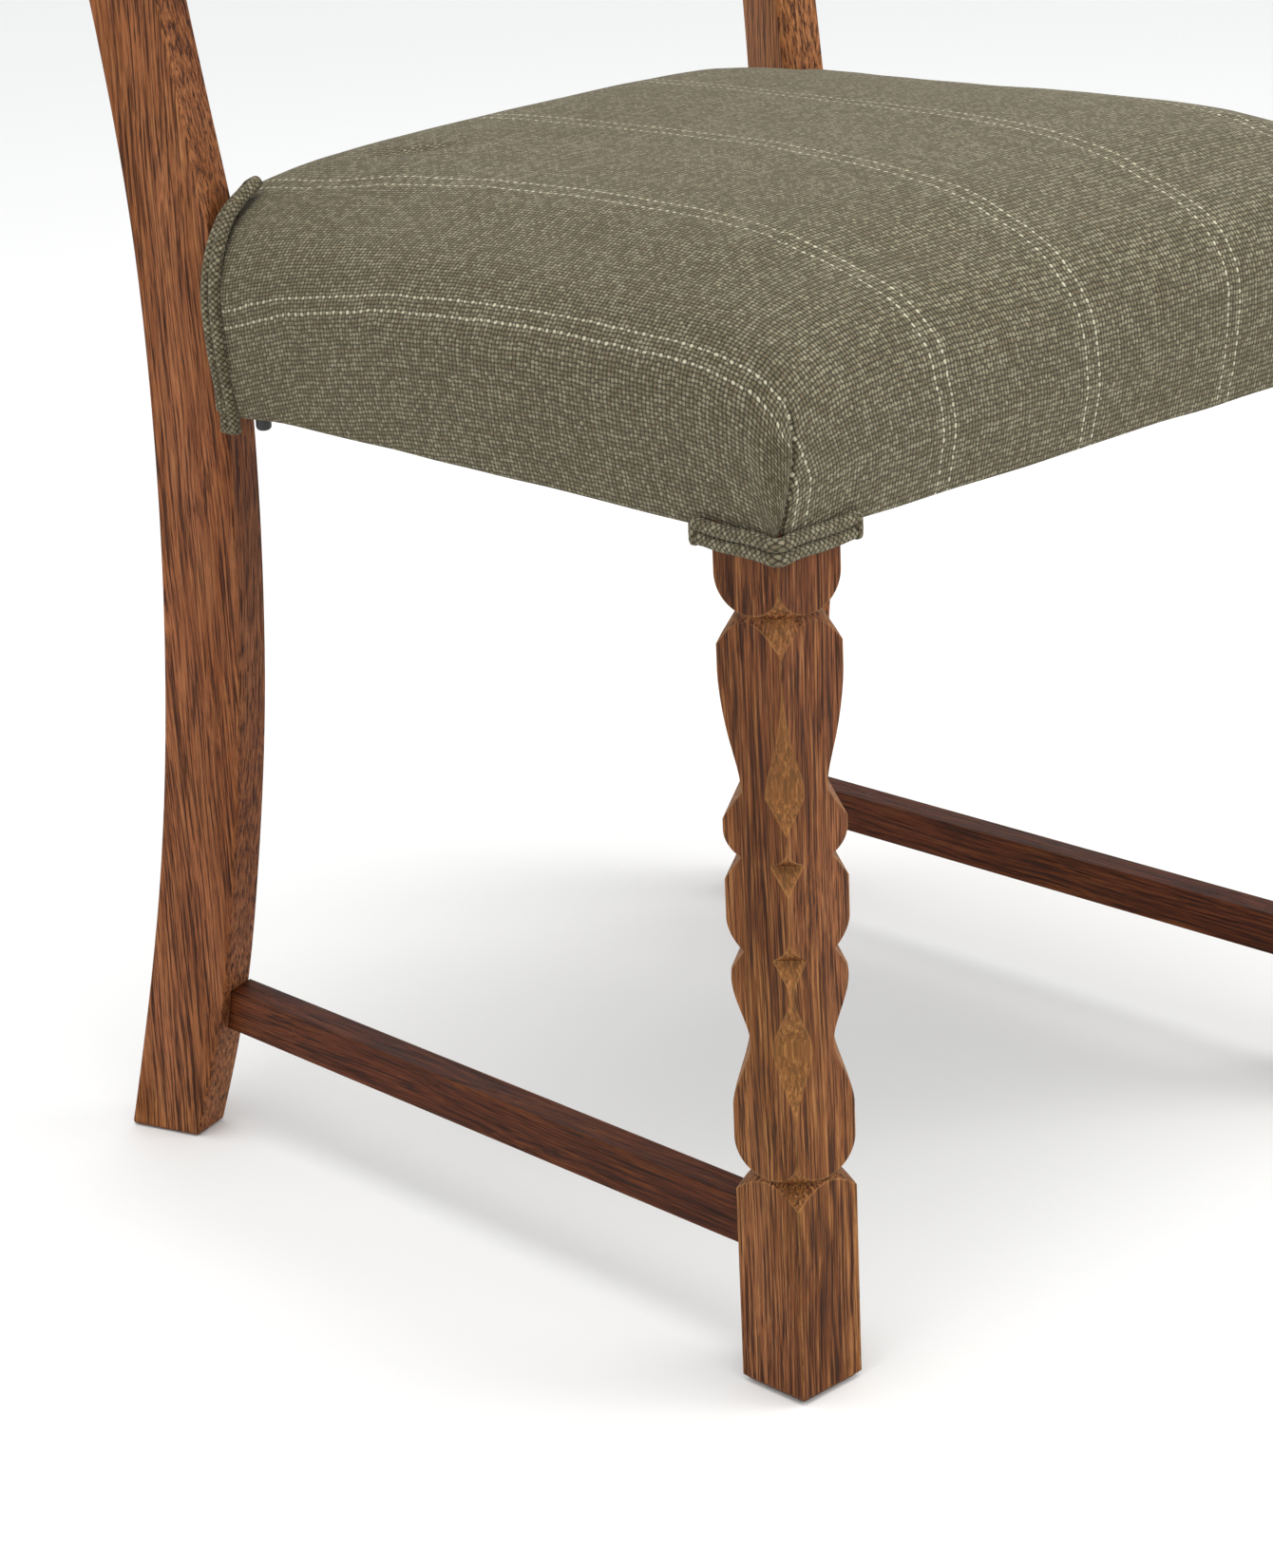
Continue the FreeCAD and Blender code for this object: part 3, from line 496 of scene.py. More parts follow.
def notchDistance(x, y):
    # from the cutout round a post
    dx, dy = np.abs(x) - postCorner[0], y - postCorner[1]
    back = dx * rearward[0] + dy * rearward[1] + seat["postGap"]
    within = dx * inward[0] + dy * inward[1] - seat["postWidth"] - seat["postGap"]
    ahead, beside = np.maximum(-back, 0), np.maximum(within, 0)
    return np.hypot(ahead, beside)


def crownHeight(x, y):
    side = edgeDrop(sideLine(y) + seat["bulge"] - np.abs(x), *seat["sideFall"])
    front = edgeDrop(y + seat["sink"] + seat["bulge"], *seat["frontFall"])
    rear = edgeDrop(seat["rear"] - y, *seat["rearFall"])
    blend = seat["fallBlend"]
    drop = np.minimum((side ** blend + front ** blend + rear ** blend) ** (1 / blend), seat["mostDrop"])
    tuck = seat["tuck"] * np.exp(-notchDistance(x, y) / 0.006)
    return seat["peak"] + seat["lean"] * x - drop - tuck


def spaced(start, end, step):
    count = max(2, int(round(np.linalg.norm(np.subtract(end, start)) / step)))
    return [tuple(np.add(start, np.subtract(end, start) * i / count)) for i in range(count)]


def seatOutline():
    # right half from the middle of the front to the middle of the rear, with a mark for each stretch
    front = -seat["sink"] - seat["bulge"]
    r = seat["cornerRadius"]
    wide = sideLine(front) + seat["bulge"]
    turn = wide - r
    points, marks = [], []

    def stretch(mark, places):
        points.extend(places)
        marks.extend([mark] * len(places))

    stretch("front", spaced((0, front), (turn - 0.045, front), 0.008))
    stretch("front", spaced((turn - 0.045, front), (turn - 0.008, front), 0.0042))
    stretch("front", spaced((turn - 0.008, front), (turn, front), 0.0012))
    stretch("side", [(turn + r * math.sin(a), front + r - r * math.cos(a))
                     for a in (math.radians(k * 9) for k in range(10))])
    start = (wide, front + r)
    bend = tuple(postCorner - seat["postGap"] * rearward - 0.0085 * inward)
    stretch("side", spaced(start, (sideLine(-0.2) + seat["bulge"], -0.2), 0.0042))
    stretch("side", spaced((sideLine(-0.2) + seat["bulge"], -0.2), bend, 0.0078))
    inner = postCorner - seat["postGap"] * rearward
    inner = tuple(inner + (seat["postWidth"] + seat["postGap"]) * inward)
    stretch("notch", spaced(bend, inner, 0.003))
    run = (seat["rear"] - 0.006 - inner[1]) / rearward[1]
    corner = tuple(np.add(inner, rearward * run))
    stretch("notch", spaced(inner, corner, 0.004))
    ending = (corner[0] - 0.008, seat["rear"])
    stretch("turn", spaced(corner, ending, 0.003))
    stretch("rear", spaced(ending, (0, seat["rear"]), 0.009))
    half = len(points)
    points.append((0, seat["rear"]))
    marks.append("rear")
    loop = points + [(-x, y) for x, y in reversed(points[1:half])]
    return np.array(loop), marks + list(reversed(marks[1:half]))


def arcAcross(x, y, axis):
    # length over the crown from the seat's middle line to each point, along X or along Y
    steps = 1 - (1 - np.linspace(0, 1, 160)) ** 2
    places = [np.outer(steps, v) if axis == k else np.repeat(v[None, :], 160, 0)
              for k, v in enumerate((x, y))]
    rise = np.diff(crownHeight(*places), axis=0)
    return np.hypot(np.diff(places[axis], axis=0), rise).sum(0) * np.sign((x, y)[axis])


# how far each stripe strays as the cloth is pulled over the crown:
# distance from front to rear, then where the five stripes lie, all in metres
stripeRuns = np.array([
    (-0.2760, -0.2085, -0.1242, -0.0335, 0.0605, 0.1536),
    (-0.2535, -0.2195, -0.1310, -0.0390, 0.0590, 0.1536),
    (-0.2450, -0.2235, -0.1355, -0.0442, 0.0560, 0.1536),
    (-0.2300, -0.2255, -0.1410, -0.0450, 0.0520, 0.1530),
    (-0.2000, -0.2262, -0.1480, -0.0465, 0.0496, 0.1524),
    (-0.1650, -0.2264, -0.1480, -0.0490, 0.0500, 0.1498),
    (-0.1070, -0.2243, -0.1468, -0.0480, 0.0507, 0.1460),
    (-0.0600, -0.2247, -0.1451, -0.0437, 0.0508, 0.1450),
    (-0.0110, -0.2276, -0.1460, -0.0445, 0.0510, 0.1450),
    (0.0540, -0.2354, -0.1550, -0.0490, 0.0505, 0.1460),
    (0.1010, -0.2441, -0.1670, -0.0530, 0.0500, 0.1470),
])

# distances of the crown's rings from the edge, innermost first
crownRings = np.array([0.2, 0.194, 0.184, 0.17, 0.155, 0.139, 0.123, 0.107, 0.091, 0.076, 0.062, 0.05,
                       0.039, 0.029, 0.021, 0.0145, 0.0095, 0.0058, 0.003, 0.0011, 0.0])
# share of the way down the sides, then share of the flap and its height over the edge
skirtRings = (0.05, 0.13, 0.23, 0.35, 0.48, 0.61, 0.74, 0.86, 0.95, 1.0)
flapRings = ((0.12, -0.0005), (1.0, -0.0003))


def patternShift(u, y):
    # moves the flat pattern so that the woven stripes follow those runs
    middle = seatWeave["firstStripe"] + (seatWeave["stripeGap"] + 1) / 2
    woven = (middle + seatWeave["repeat"] * np.arange(5)) * seatWeave["warpPitch"]
    moved = np.array(u, float)
    for i in range(len(moved)):
        lies = [np.interp(y[i], stripeRuns[:, 0], stripeRuns[:, k]) for k in range(1, 6)]
        moved[i] += np.interp(u[i], lies, woven - lies)
    return moved


def buildSeatGrid():
    loop, marks = seatOutline()
    count = len(loop)
    middle = np.array([0.0, seat["middle"]])
    after, before = np.roll(loop, -1, 0), np.roll(loop, 1, 0)
    direction = (after - before) / np.linalg.norm(after - before, axis=1)[:, None]
    inside = np.stack([-direction[:, 1], direction[:, 0]], 1)
    inside[np.array(marks) == "turn"] *= 0.7
    rings, flats = [], []
    for share in crownRings[1:] / crownRings[0]:
        flat = middle + (loop - middle) * (1 - share)
        z = crownHeight(flat[:, 0], flat[:, 1])
        rings.append(np.column_stack([flat, z]))
        flats.append(np.column_stack([arcAcross(*flat.T, axis) for axis in (0, 1)]))
    top, topFlat = rings[-1], flats[-1].copy()
    for ring, flat in zip(rings, flats):
        flat[:, 0] = patternShift(flat[:, 0], ring[:, 1])
    y = loop[:, 1] + seat["sink"]
    side = np.abs(loop[:, 0])
    band = seat["weltBand"]
    byLeg = (y < seat["weltReach"]) & (side > seat["halfFront"] - band)
    byLeg |= (side > seat["halfFront"] - seat["weltReach"]) & (y < band)
    often, high = seat["edgeWave"]
    wave = np.array([noise.noise(Vector((p[0] * often, p[1] * often, 3.1))) for p in loop]) * high
    kind = np.array(marks)
    hang = seat["hang"] * (kind == "side") * np.exp(-(postCorner[1] - loop[:, 1]) / seat["hangReach"])
    low = np.where(byLeg, seat["welted"], seat["low"] + wave - hang)
    pull = np.where((kind == "front") | (kind == "side"), seat["lowerPull"], seat["cutPull"])
    for share in skirtRings:
        z = top[:, 2] + (low - top[:, 2]) * share
        flat = loop + inside * (pull * share ** 1.8)[:, None]
        rings.append(np.column_stack([flat, z]))
        run = top[:, 2] - z
        sign = np.sign(loop[:, 0])
        mapped = topFlat.copy()
        mapped[:, 0] = patternShift(mapped[:, 0], np.where(kind == "front", top[:, 1] - run, top[:, 1]))
        mapped[:, 0] += np.where((kind == "side") | (kind == "notch"), run * sign, 0)
        mapped[:, 1] += np.select([kind == "front", (kind == "rear") | (kind == "turn")], [-run, run], 0)
        flats.append(mapped)
    flapWide = np.select([byLeg, kind == "notch", kind == "turn"], [0.0002, 0.0003, 0.002], seat["flap"])
    for share, lift in flapRings:
        flat = loop + inside * (pull + seat["cutPull"] + flapWide * share)[:, None]
        rings.append(np.column_stack([flat, low + lift]))
        flats.append(flats[-1] + 0.002 * share)
    points = np.concatenate([np.array([[*middle, crownHeight(*middle)]]), *rings])
    flats = np.concatenate([np.array([(patternShift([0.0], [middle[1]])[0], middle[1])]), *flats])
    faces = [(0, 1 + j, 1 + (j + 1) % count) for j in range(count)]
    for ring in range(len(rings) - 1):
        a, b = 1 + ring * count, 1 + (ring + 1) * count
        faces += [(a + j, b + j, b + (j + 1) % count, a + (j + 1) % count) for j in range(count)]
    return points, flats, faces, count, kind


def inflated(points, faces, count):
    # lets air pressure fill the crown and returns the points as they have swelled
    start = points.copy()
    start[:, 2] -= seat["startSmaller"] * np.clip((start[:, 2] - 0.40) / 0.05, 0, 1)
    last = len(points) - count
    floorPoint = len(points)
    mesh = bpy.data.meshes.new("seatAir")
    closing = [(last + (j + 1) % count, last + j, floorPoint) for j in range(count)]
    floorPlace = (0, seat["middle"], seat["low"] + 0.0003)
    mesh.from_pydata([tuple(p) for p in start] + [floorPlace], [], faces + closing)
    outward = np.array([v.normal[:] for v in mesh.vertices])[:len(points)]
    body = bpy.data.objects.new("seatAir", mesh)
    scene.collection.objects.link(body)
    group = body.vertex_groups.new(name="held")
    held = len(points) - seat["held"] * count
    group.add(list(range(held, len(points) + 1)), 1.0, "REPLACE")
    cloth = body.modifiers.new("cloth", "CLOTH")
    for key, value in air.items():
        setattr(cloth.settings, key, value)
    cloth.settings.effector_weights.gravity = 0
    cloth.collision_settings.use_collision = False
    frames = (1, 20)
    cloth.point_cache.frame_start, cloth.point_cache.frame_end = frames
    for moment in range(frames[0], frames[1] + 1):
        scene.frame_set(moment)
    relaxed = bpy.data.meshes.new_from_object(body.evaluated_get(bpy.context.evaluated_depsgraph_get()))
    places = np.zeros(len(relaxed.vertices) * 3)
    relaxed.vertices.foreach_get("co", places)
    places = places.reshape(-1, 3)[:len(points)]
    bpy.data.objects.remove(body)
    bpy.data.meshes.remove(relaxed)
    scene.frame_set(1)
    # the stuffing lets the cloth swell but not sink, and the posts hold it
    swell = np.sum((places - points) * outward, axis=1)
    even = swell[1:].reshape(-1, count)
    for _ in range(4):
        beside = np.roll(even, 1, 1) + np.roll(even, -1, 1)
        even[1:-1] = (even[:-2] + even[2:] + beside[1:-1]) / 4
    near, fade = seat["postHold"]
    swell *= np.clip((notchDistance(points[:, 0], points[:, 1]) - near) / fade, 0, 1)
    return points + outward * np.clip(swell, 0, seat["cap"])[:, None]


pleat = {
    "line": 0.2174,            # from the chair's middle, at the level below
    "level": 0.42,
    "splay": 0.05,
    "top": 0.432,
    "fadeHeight": 0.016,
    "dip": (0.0036, 0.0006, 0.0018),       # depth, distance before the line, width
    "lap": (0.0011, 0.0016, 0.0034),       # rise, distance behind the line, width
}


def shapePleats(points):
    # the side cloth laps the front cloth at each front corner
    front = -seat["sink"] - seat["bulge"]
    dip, dipAt, dipWide = pleat["dip"]
    rise, riseAt, riseWide = pleat["lap"]
    for place in points:
        x, y, z = place
        if y > front + 0.02 or z > 0.437 or z < 0.374:
            continue
        off = abs(x) - pleat["line"] - pleat["splay"] * (pleat["level"] - z)
        depth = min(1, max(0, (pleat["top"] - z) / pleat["fadeHeight"]))
        if -0.006 < off <= 0:
            place[1] += dip * depth * math.exp(-((off + dipAt) / dipWide) ** 2)
        elif 0 < off < 0.012:
            lap = depth * math.exp(-((off - riseAt) / riseWide) ** 2)
            place[1] -= rise * lap
            place[0] += math.copysign(0.0002, x) * lap
    return points


def meshObject(name, points, faces, flats=None):
    mesh = bpy.data.meshes.new(name)
    mesh.from_pydata([tuple(p) for p in points], [], faces)
    if flats is not None:
        layer = mesh.uv_layers.new(name="weave")
        corners = np.zeros(len(mesh.loops), int)
        mesh.loops.foreach_get("vertex_index", corners)
        layer.data.foreach_set("uv", np.asarray(flats)[corners].ravel())
    for polygon in mesh.polygons:
        polygon.use_smooth = True
    piece = bpy.data.objects.new(name, mesh)
    scene.collection.objects.link(piece)
    return piece


def standsFor(piece, node):
    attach(piece, "root")
    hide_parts(node)


def settled(piece):
    # the piece's modifiers worked into its mesh
    mesh = bpy.data.meshes.new_from_object(piece.evaluated_get(bpy.context.evaluated_depsgraph_get()))
    piece.modifiers.clear()
    piece.data = mesh
    return piece


def makeSeat():
    points, flats, faces, count, kind = buildSeatGrid()
    points = inflated(points, faces, count)
    piece = meshObject("seatUpholstery", points, faces, flats)
    # where front and side cloth meet, each keeps its own run of the pattern
    layer = piece.data.uv_layers["weave"].data
    turns = [j for j in range(count) if (kind[j] == "front") != (kind[(j + 1) % count] == "front")]
    for polygon in piece.data.polygons:
        first = polygon.vertices[0] - 1
        onSide = len(polygon.vertices) == 4 and first // count >= len(crownRings) - 1
        if not onSide or first % count not in turns:
            continue
        a, b, c, d = polygon.vertices
        partners, gap = {b: c, a: d}, -seat["seam"]
        if kind[first % count] == "front":
            partners, gap = {c: b, d: a}, seat["seam"]
        for loopIndex in polygon.loop_indices:
            partner = partners.get(piece.data.loops[loopIndex].vertex_index)
            if partner is not None:
                layer[loopIndex].uv = flats[partner] + np.array([gap, 0])
    finer = piece.modifiers.new("finer", "SUBSURF")
    finer.levels = finer.render_levels = 1
    finer.use_limit_surface = False
    settled(piece)
    places = np.array([v.co[:] for v in piece.data.vertices])
    for p in shapePleats(places):
        softness = min(1.0, max(0.0, (p[2] - 0.382) / 0.03))
        p[2] += softness * sum(noise.noise(Vector((p[0] * a, p[1] * b, p[2] * c + shift))) * high
                               for a, b, c, shift, high in seat["ripples"])
    piece.data.vertices.foreach_set("co", places.ravel())
    shell = piece.modifiers.new("cloth", "SOLIDIFY")
    shell.thickness = seat["thickness"]
    shell.offset = -1
    settled(piece)
    paint(piece, weaveMaterial("seatCloth", seatWeave))
    standsFor(piece, "seat_cover")
    return piece


seatPiece = makeSeat()
print("seat ready,", len(seatPiece.data.polygons), "faces")


# double welts

welt = {
    "radius": 0.0029,
    "gap": -0.0002,
    "sides": 14,
    "step": 0.0012,
    "sag": 0.0016,             # dip at the leg's corner
    "sagWide": 0.011,
    "wave": 0.0006,
    "waveRun": 0.0075,
    "stand": 0.0002,           # clear of the leg
    "flare": 0.0012,           # how much further the upper cord runs
    "turn": 0.006,
    "postGap": 0.0018,
    "sideLift": 0.0009,
    "topLift": 0.0012,
    "endLength": 0.0034,
    "endWide": 0.0116,
    "endThick": 0.0062,
    "reach": 0.041,            # along each face of a front leg
    "bend": 0.0028,            # radius of the inner bend at the leg's corner
    "level": 0.3779,           # upper cord of the front welts
    "endLevel": 0.3751,
    "foot": 0.3665,            # lower end of the rear welts
    "shoulder": 0.427,         # where they leave the side for the crown
    "across": 0.0275,          # how far they run across the post
}
weltCloth = weaveMaterial("weltCloth", weltWeave)


def evenly(places, step):
    places = np.array(places, float)
    for _ in range(3):
        places[1:-1] = (places[:-2] + 2 * places[1:-1] + places[2:]) / 4
    gaps = np.linalg.norm(np.diff(places, axis=0), axis=1)
    run = np.concatenate([[0], np.cumsum(gaps)])
    count = max(3, int(run[-1] / step))
    at = np.linspace(0, run[-1], count)
    return np.column_stack([np.interp(at, run, places[:, k]) for k in range(3)]), at


def gridFaces(rows, columns):
    # faces between rows of points that each close on a doubled last point
    wide = columns + 1
    return [(a, a + 1, a + wide + 1, a + wide)
            for i in range(rows) for a in range(i * wide, i * wide + columns)]


def tubeParts(places, runs, outward, seed):
    # one cord of cloth-covered welt: closed tube with rounded ends
    sides, radius = welt["sides"], welt["radius"]
    points, flats = [], []
    ahead = np.gradient(places, axis=0)
    ahead /= np.linalg.norm(ahead, axis=1)[:, None]
    total = runs[-1]
    for i, place in enumerate(places):
        first = outward[i] - ahead[i] * np.dot(outward[i], ahead[i])
        first /= np.linalg.norm(first)
        second = np.cross(ahead[i], first)
        nearest = min(runs[i], total - runs[i])
        swell = 1 + 0.05 * noise.noise(Vector((runs[i] * 160 + seed, seed, 0)))
        size = radius * swell * math.sqrt(min(1.0, 0.35 + nearest / 0.002))
        for k in range(sides + 1):
            angle = 2 * math.pi * k / sides + math.pi
            offset = first * math.cos(angle) + second * math.sin(angle)
            points.append(place + offset * size)
            flats.append((runs[i] + seed, angle * radius))
    wide = sides + 1
    faces = gridFaces(len(places) - 1, sides)
    for end, flip in ((0, True), (len(places) - 1, False)):
        points.append(places[end] + ahead[end] * (radius * 0.35 * (-1 if flip else 1)))
        flats.append((runs[end] + seed, 0))
        tip = len(points) - 1
        for k in range(sides):
            a = end * wide + k
            faces.append((a + 1, a, tip) if flip else (a, a + 1, tip))
    return points, flats, faces


def rounded(value, power):
    return math.copysign(abs(value) ** power, value)


def foldedEnd(middle, ahead, outward, seed):
    # the cloth folded square over the end of both cords
    points, flats = [], []
    across = np.cross(ahead, outward)
    across /= np.linalg.norm(across)
    rows, columns = 14, 24
    length, wide, thick = welt["endLength"], welt["endWide"], welt["endThick"]
    for i in range(rows + 1):
        lift = math.pi * (i / rows - 0.5)
        for k in range(columns + 1):
            angle = 2 * math.pi * k / columns
            a = rounded(math.cos(lift), 0.55) * rounded(math.cos(angle), 0.45)
            b = rounded(math.cos(lift), 0.55) * rounded(math.sin(angle), 0.45)
            c = rounded(math.sin(lift), 0.7)
            offset = ahead * a * length + across * b * wide + outward * c * thick
            points.append(middle + offset / 2)
            flats.append((a * length / 2 + seed, b * wide / 2 + c * thick / 2))
    return points, flats, gridFaces(rows, columns)


def weltPiece(name, node, cords, ends):
    points, flats, faces = [], [], []
    for partPoints, partFlats, partFaces in cords + ends:
        shift = len(points)
        points += [tuple(p) for p in partPoints]
        flats += partFlats
        faces += [tuple(i + shift for i in face) for face in partFaces]
    piece = meshObject(name, points, faces, flats)
    tidy = bmesh.new()
    tidy.from_mesh(piece.data)
    bmesh.ops.remove_doubles(tidy, verts=tidy.verts, dist=0.0000005)
    bmesh.ops.recalc_face_normals(tidy, faces=tidy.faces)
    tidy.to_mesh(piece.data)
    tidy.free()
    piece.data.materials.append(weltCloth)
    standsFor(piece, node)


def frontWelt(side, name, node):
    r = welt["radius"]
    out = r + welt["stand"]
    x, y = seat["halfFront"] + out, -seat["sink"] - out
    reach, bend = welt["reach"], welt["bend"]
    cords, ends = [], []
    for row in (0, 1):
        level = welt["level"] - row * (2 * r + welt["gap"])
        stretchOut = 0.0 if row else welt["flare"]
        places = []
        for t in np.linspace(0, 1, 60):
            places.append((x, -seat["sink"] + reach * (1 - t) + stretchOut * (1 - t), level))
        for a in np.linspace(0, math.pi / 2, 10)[1:-1]:
            places.append((x - bend + bend * math.cos(a), y + bend - bend * math.sin(a), level))
        for t in np.linspace(0, 1, 60):
            places.append((x - bend - (reach + stretchOut) * t, y, level))
        places = np.array(places)
        apart = np.hypot(places[:, 0] - seat["halfFront"], places[:, 1] + seat["sink"])
        places[:, 2] -= welt["sag"] * np.exp(-(apart / welt["sagWide"]) ** 2)
        places[:, 2] += welt["wave"] * np.cos(apart / welt["waveRun"]) * (apart > 0.004)
        places[:, 0] *= side
        places, runs = evenly(places, welt["step"])
        sideways = side * np.clip((places[:, 0] * side - x) / welt["turn"] + 1, 0, 1)
        forward = -np.clip((y - places[:, 1]) / welt["turn"] + 1, 0, 1)
        outward = np.column_stack([sideways, forward, np.zeros(len(places))])
        outward += np.array([side * 0.01, -0.01, 0])
        cords.append(tubeParts(places, runs, outward, 0.31 + row * 0.2 + side * 0.05))
    middle = welt["endLevel"]
    ends.append(foldedEnd(np.array([side * (x + 0.0001), -seat["sink"] + reach + 0.0006, middle]),
                          np.array([0.0, 1, 0]), np.array([side * 1.0, 0, 0]), 0.1))
    ends.append(foldedEnd(np.array([side * (seat["halfFront"] - reach - 0.0006), y - 0.0001, middle]),
                          np.array([-side * 1.0, 0, 0]), np.array([0, -1.0, 0]), 0.2))
    weltPiece(name, node, cords, ends)


def skirtPoint(back, z):
    # seat's surface at one height, in a plane this far in front of the post
    place = np.array(postCorner) - back * rearward
    for _ in range(6):
        share = np.clip((seat["wallTop"] - z) / (seat["wallTop"] - seat["low"]), 0, 1)
        wanted = sideLine(place[1]) + seat["bulge"] - seat["lowerPull"] * share ** 1.8
        place = place + inward * ((wanted - place[0]) / inward[0])
    return place


def rearWelt(side, name, node):
    r = welt["radius"]
    cords, ends = [], []
    tips = []
    for row in (0, 1):
        back = welt["postGap"] + r + row * (2 * r + welt["gap"])
        places = []
        for z in np.linspace(welt["foot"], welt["shoulder"], 26):
            place = skirtPoint(back, z)
            places.append((place[0] + welt["sideLift"], place[1], z))
        start = skirtPoint(back, seat["wallTop"])
        depth = np.dot(start - (postCorner - back * rearward), inward)
        for share in np.linspace(0, 1, 40)[1:] ** 1.6:
            n = depth + (welt["across"] - depth) * share
            place = postCorner - back * rearward + inward * n
            places.append((place[0], place[1], float(crownHeight(*place)) + welt["topLift"]))
        places = np.array(places)
        places[:, 0] *= side
        places, runs = evenly(places, welt["step"])
        forward = np.array([-rearward[0] * side, -rearward[1], 0])
        outward = np.repeat(forward[None, :], len(places), 0)
        cords.append(tubeParts(places, runs, outward, 0.6 + row * 0.2 + side * 0.05))
        tips.append((places[0], places[-1], places[1] - places[0], places[-1] - places[-2]))
    for which in (0, 1):
        middle = (tips[0][which] + tips[1][which]) / 2
        ahead = (tips[0][which + 2] + tips[1][which + 2])
        ahead = ahead / np.linalg.norm(ahead) * (-1 if which == 0 else 1)
        wide = tips[0][which] - tips[1][which]
        outward = np.cross(wide, ahead)
        outward /= np.linalg.norm(outward)
        ends.append(foldedEnd(middle + ahead * 0.0004, ahead, outward, 0.3 + which))
    weltPiece(name, node, cords, ends)


for side, hand in ((1, "Left"), (-1, "Right")):
    frontWelt(side, "frontWelt" + hand, "front_welt_" + hand.lower())
for side, hand in ((1, "Left"), (-1, "Right")):
    rearWelt(side, "rearWelt" + hand, "rear_welt_" + hand.lower())
print("welts ready")


# dust cover under the seat

dust = {
    "step": 0.004,
    "thickness": 0.0006,
    "level": 0.3751,
    "sag": 0.0036,
    "frontSag": 0.0026,        # slack between two staples at the front
    "slackAt": 0.032,
    "slackWide": 0.017,
    "slackDeep": 0.02,
    "inset": 0.015,
    "legSquare": 0.0357,
    "legRoom": 0.0022,
    "postRoom": 0.003,
}


def dustMaterial():
    t = Tree("dustCloth")
    web = t.noise(t.stretched(t.place, (900, 900, 900)), 1.0, 4.0, 0.75)
    dots = t.add("ShaderNodeTexVoronoi", Vector=t.place, Scale=420.0, Randomness=0.35).outputs["Distance"]
    cloudy = t.noise(t.place, 14.0, 3.0, 0.6)
    colour = t.mix(t.smooth(web, 0.35, 0.7), tone(16, 16, 17), tone(38, 37, 37))
    colour = t.mix(t.smooth(dots, 0.2, 0.45, 0.5, 0.0), colour, tone(12, 12, 13))
    colour = t.mix(t.smooth(cloudy, 0.45, 0.8, 0.0, 0.35), colour, tone(60, 58, 55))
    relief = t.bump(t.plus(web, dots), 0.5, 0.0002)
    return t.finished(colour, t.smooth(web, 0.2, 0.8, 0.78, 0.95), relief, {"Sheen Weight": 0.12})


def makeDustCover():
    low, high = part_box("dust_cover")
    step = dust["step"]
    columns = int(round((high.x - low.x) / step))
    rows = int(round((high.y - low.y) / step))
    legRoom = dust["legSquare"] + dust["legRoom"]
    points, keep = [], {}
    for i in range(rows + 1):
        y = low.y + (high.y - low.y) * i / rows
        half = sideLine(y) - dust["inset"]
        for k in range(columns + 1):
            x = half * (2 * k / columns - 1)
            rise = math.sin(math.pi * i / rows) * math.sin(math.pi * k / columns)
            z = dust["level"] - dust["sag"] * rise ** 0.8
            beside = (x - dust["slackAt"]) / dust["slackWide"]
            behind = (y - low.y) / dust["slackDeep"]
            z -= dust["frontSag"] * math.exp(-beside ** 2 - behind ** 2)
            z += 0.0004 * noise.noise(Vector((x * 60, y * 60, 1))) * (0.3 + rise)
            points.append((x, y, z))
            byLeg = abs(x) > seat["halfFront"] - legRoom and y < legRoom - seat["sink"]
            dx, dy = abs(x) - postCorner[0], y - postCorner[1]
            along, across = (dx * way[0] + dy * way[1] for way in (rearward, inward))
            byPost = along > -dust["postRoom"] and across < seat["postWidth"] + dust["postRoom"]
            keep[i * (columns + 1) + k] = not (byLeg or byPost)
    faces = []
    for i in range(rows):
        for k in range(columns):
            a = i * (columns + 1) + k
            corners = (a, a + columns + 1, a + columns + 2, a + 1)
            if all(keep[c] for c in corners):
                faces.append(corners)
    piece = meshObject("dustCover", points, faces)
    tidy = bmesh.new()
    tidy.from_mesh(piece.data)
    bmesh.ops.delete(tidy, geom=[v for v in tidy.verts if not v.link_faces], context="VERTS")
    area = sum(f.calc_area() for f in tidy.faces)
    tidy.to_mesh(piece.data)
    tidy.free()
    sheet = piece.modifiers.new("sheet", "SOLIDIFY")
    sheet.thickness = dust["thickness"]
    sheet.offset = 0
    settled(piece)
    paint(piece, dustMaterial())
    standsFor(piece, "dust_cover")


makeDustCover()
print("dust cover ready")


# small metal and plastic

def metalMaterial(name, base, scratch, rough):
    t = Tree(name)
    grain = t.noise(t.stretched(t.place, (900, 900, 3000)), 1.0, 3.0, 0.6)
    colour = t.mix(t.smooth(t.noise(t.place, 180.0, 3.0, 0.6), 0.4, 0.75), base, scratch)
    rough = t.smooth(grain, 0.2, 0.8, rough, rough + 0.2)
    return t.finished(colour, rough, t.bump(grain, 0.25, 0.0001), {"Metallic": 1.0})


def plasticMaterial(name, base):
    t = Tree(name)
    haze = t.noise(t.place, 220.0, 3.0, 0.6)
    colour = t.mix(t.smooth(haze, 0.35, 0.8, 0.0, 0.5), base, tone(52, 50, 48))
    relief = t.bump(t.noise(t.place, 2600.0, 2.0, 0.5), 0.2, 0.0001)
    return t.finished(colour, t.smooth(haze, 0.3, 0.7, 0.36, 0.52), relief)


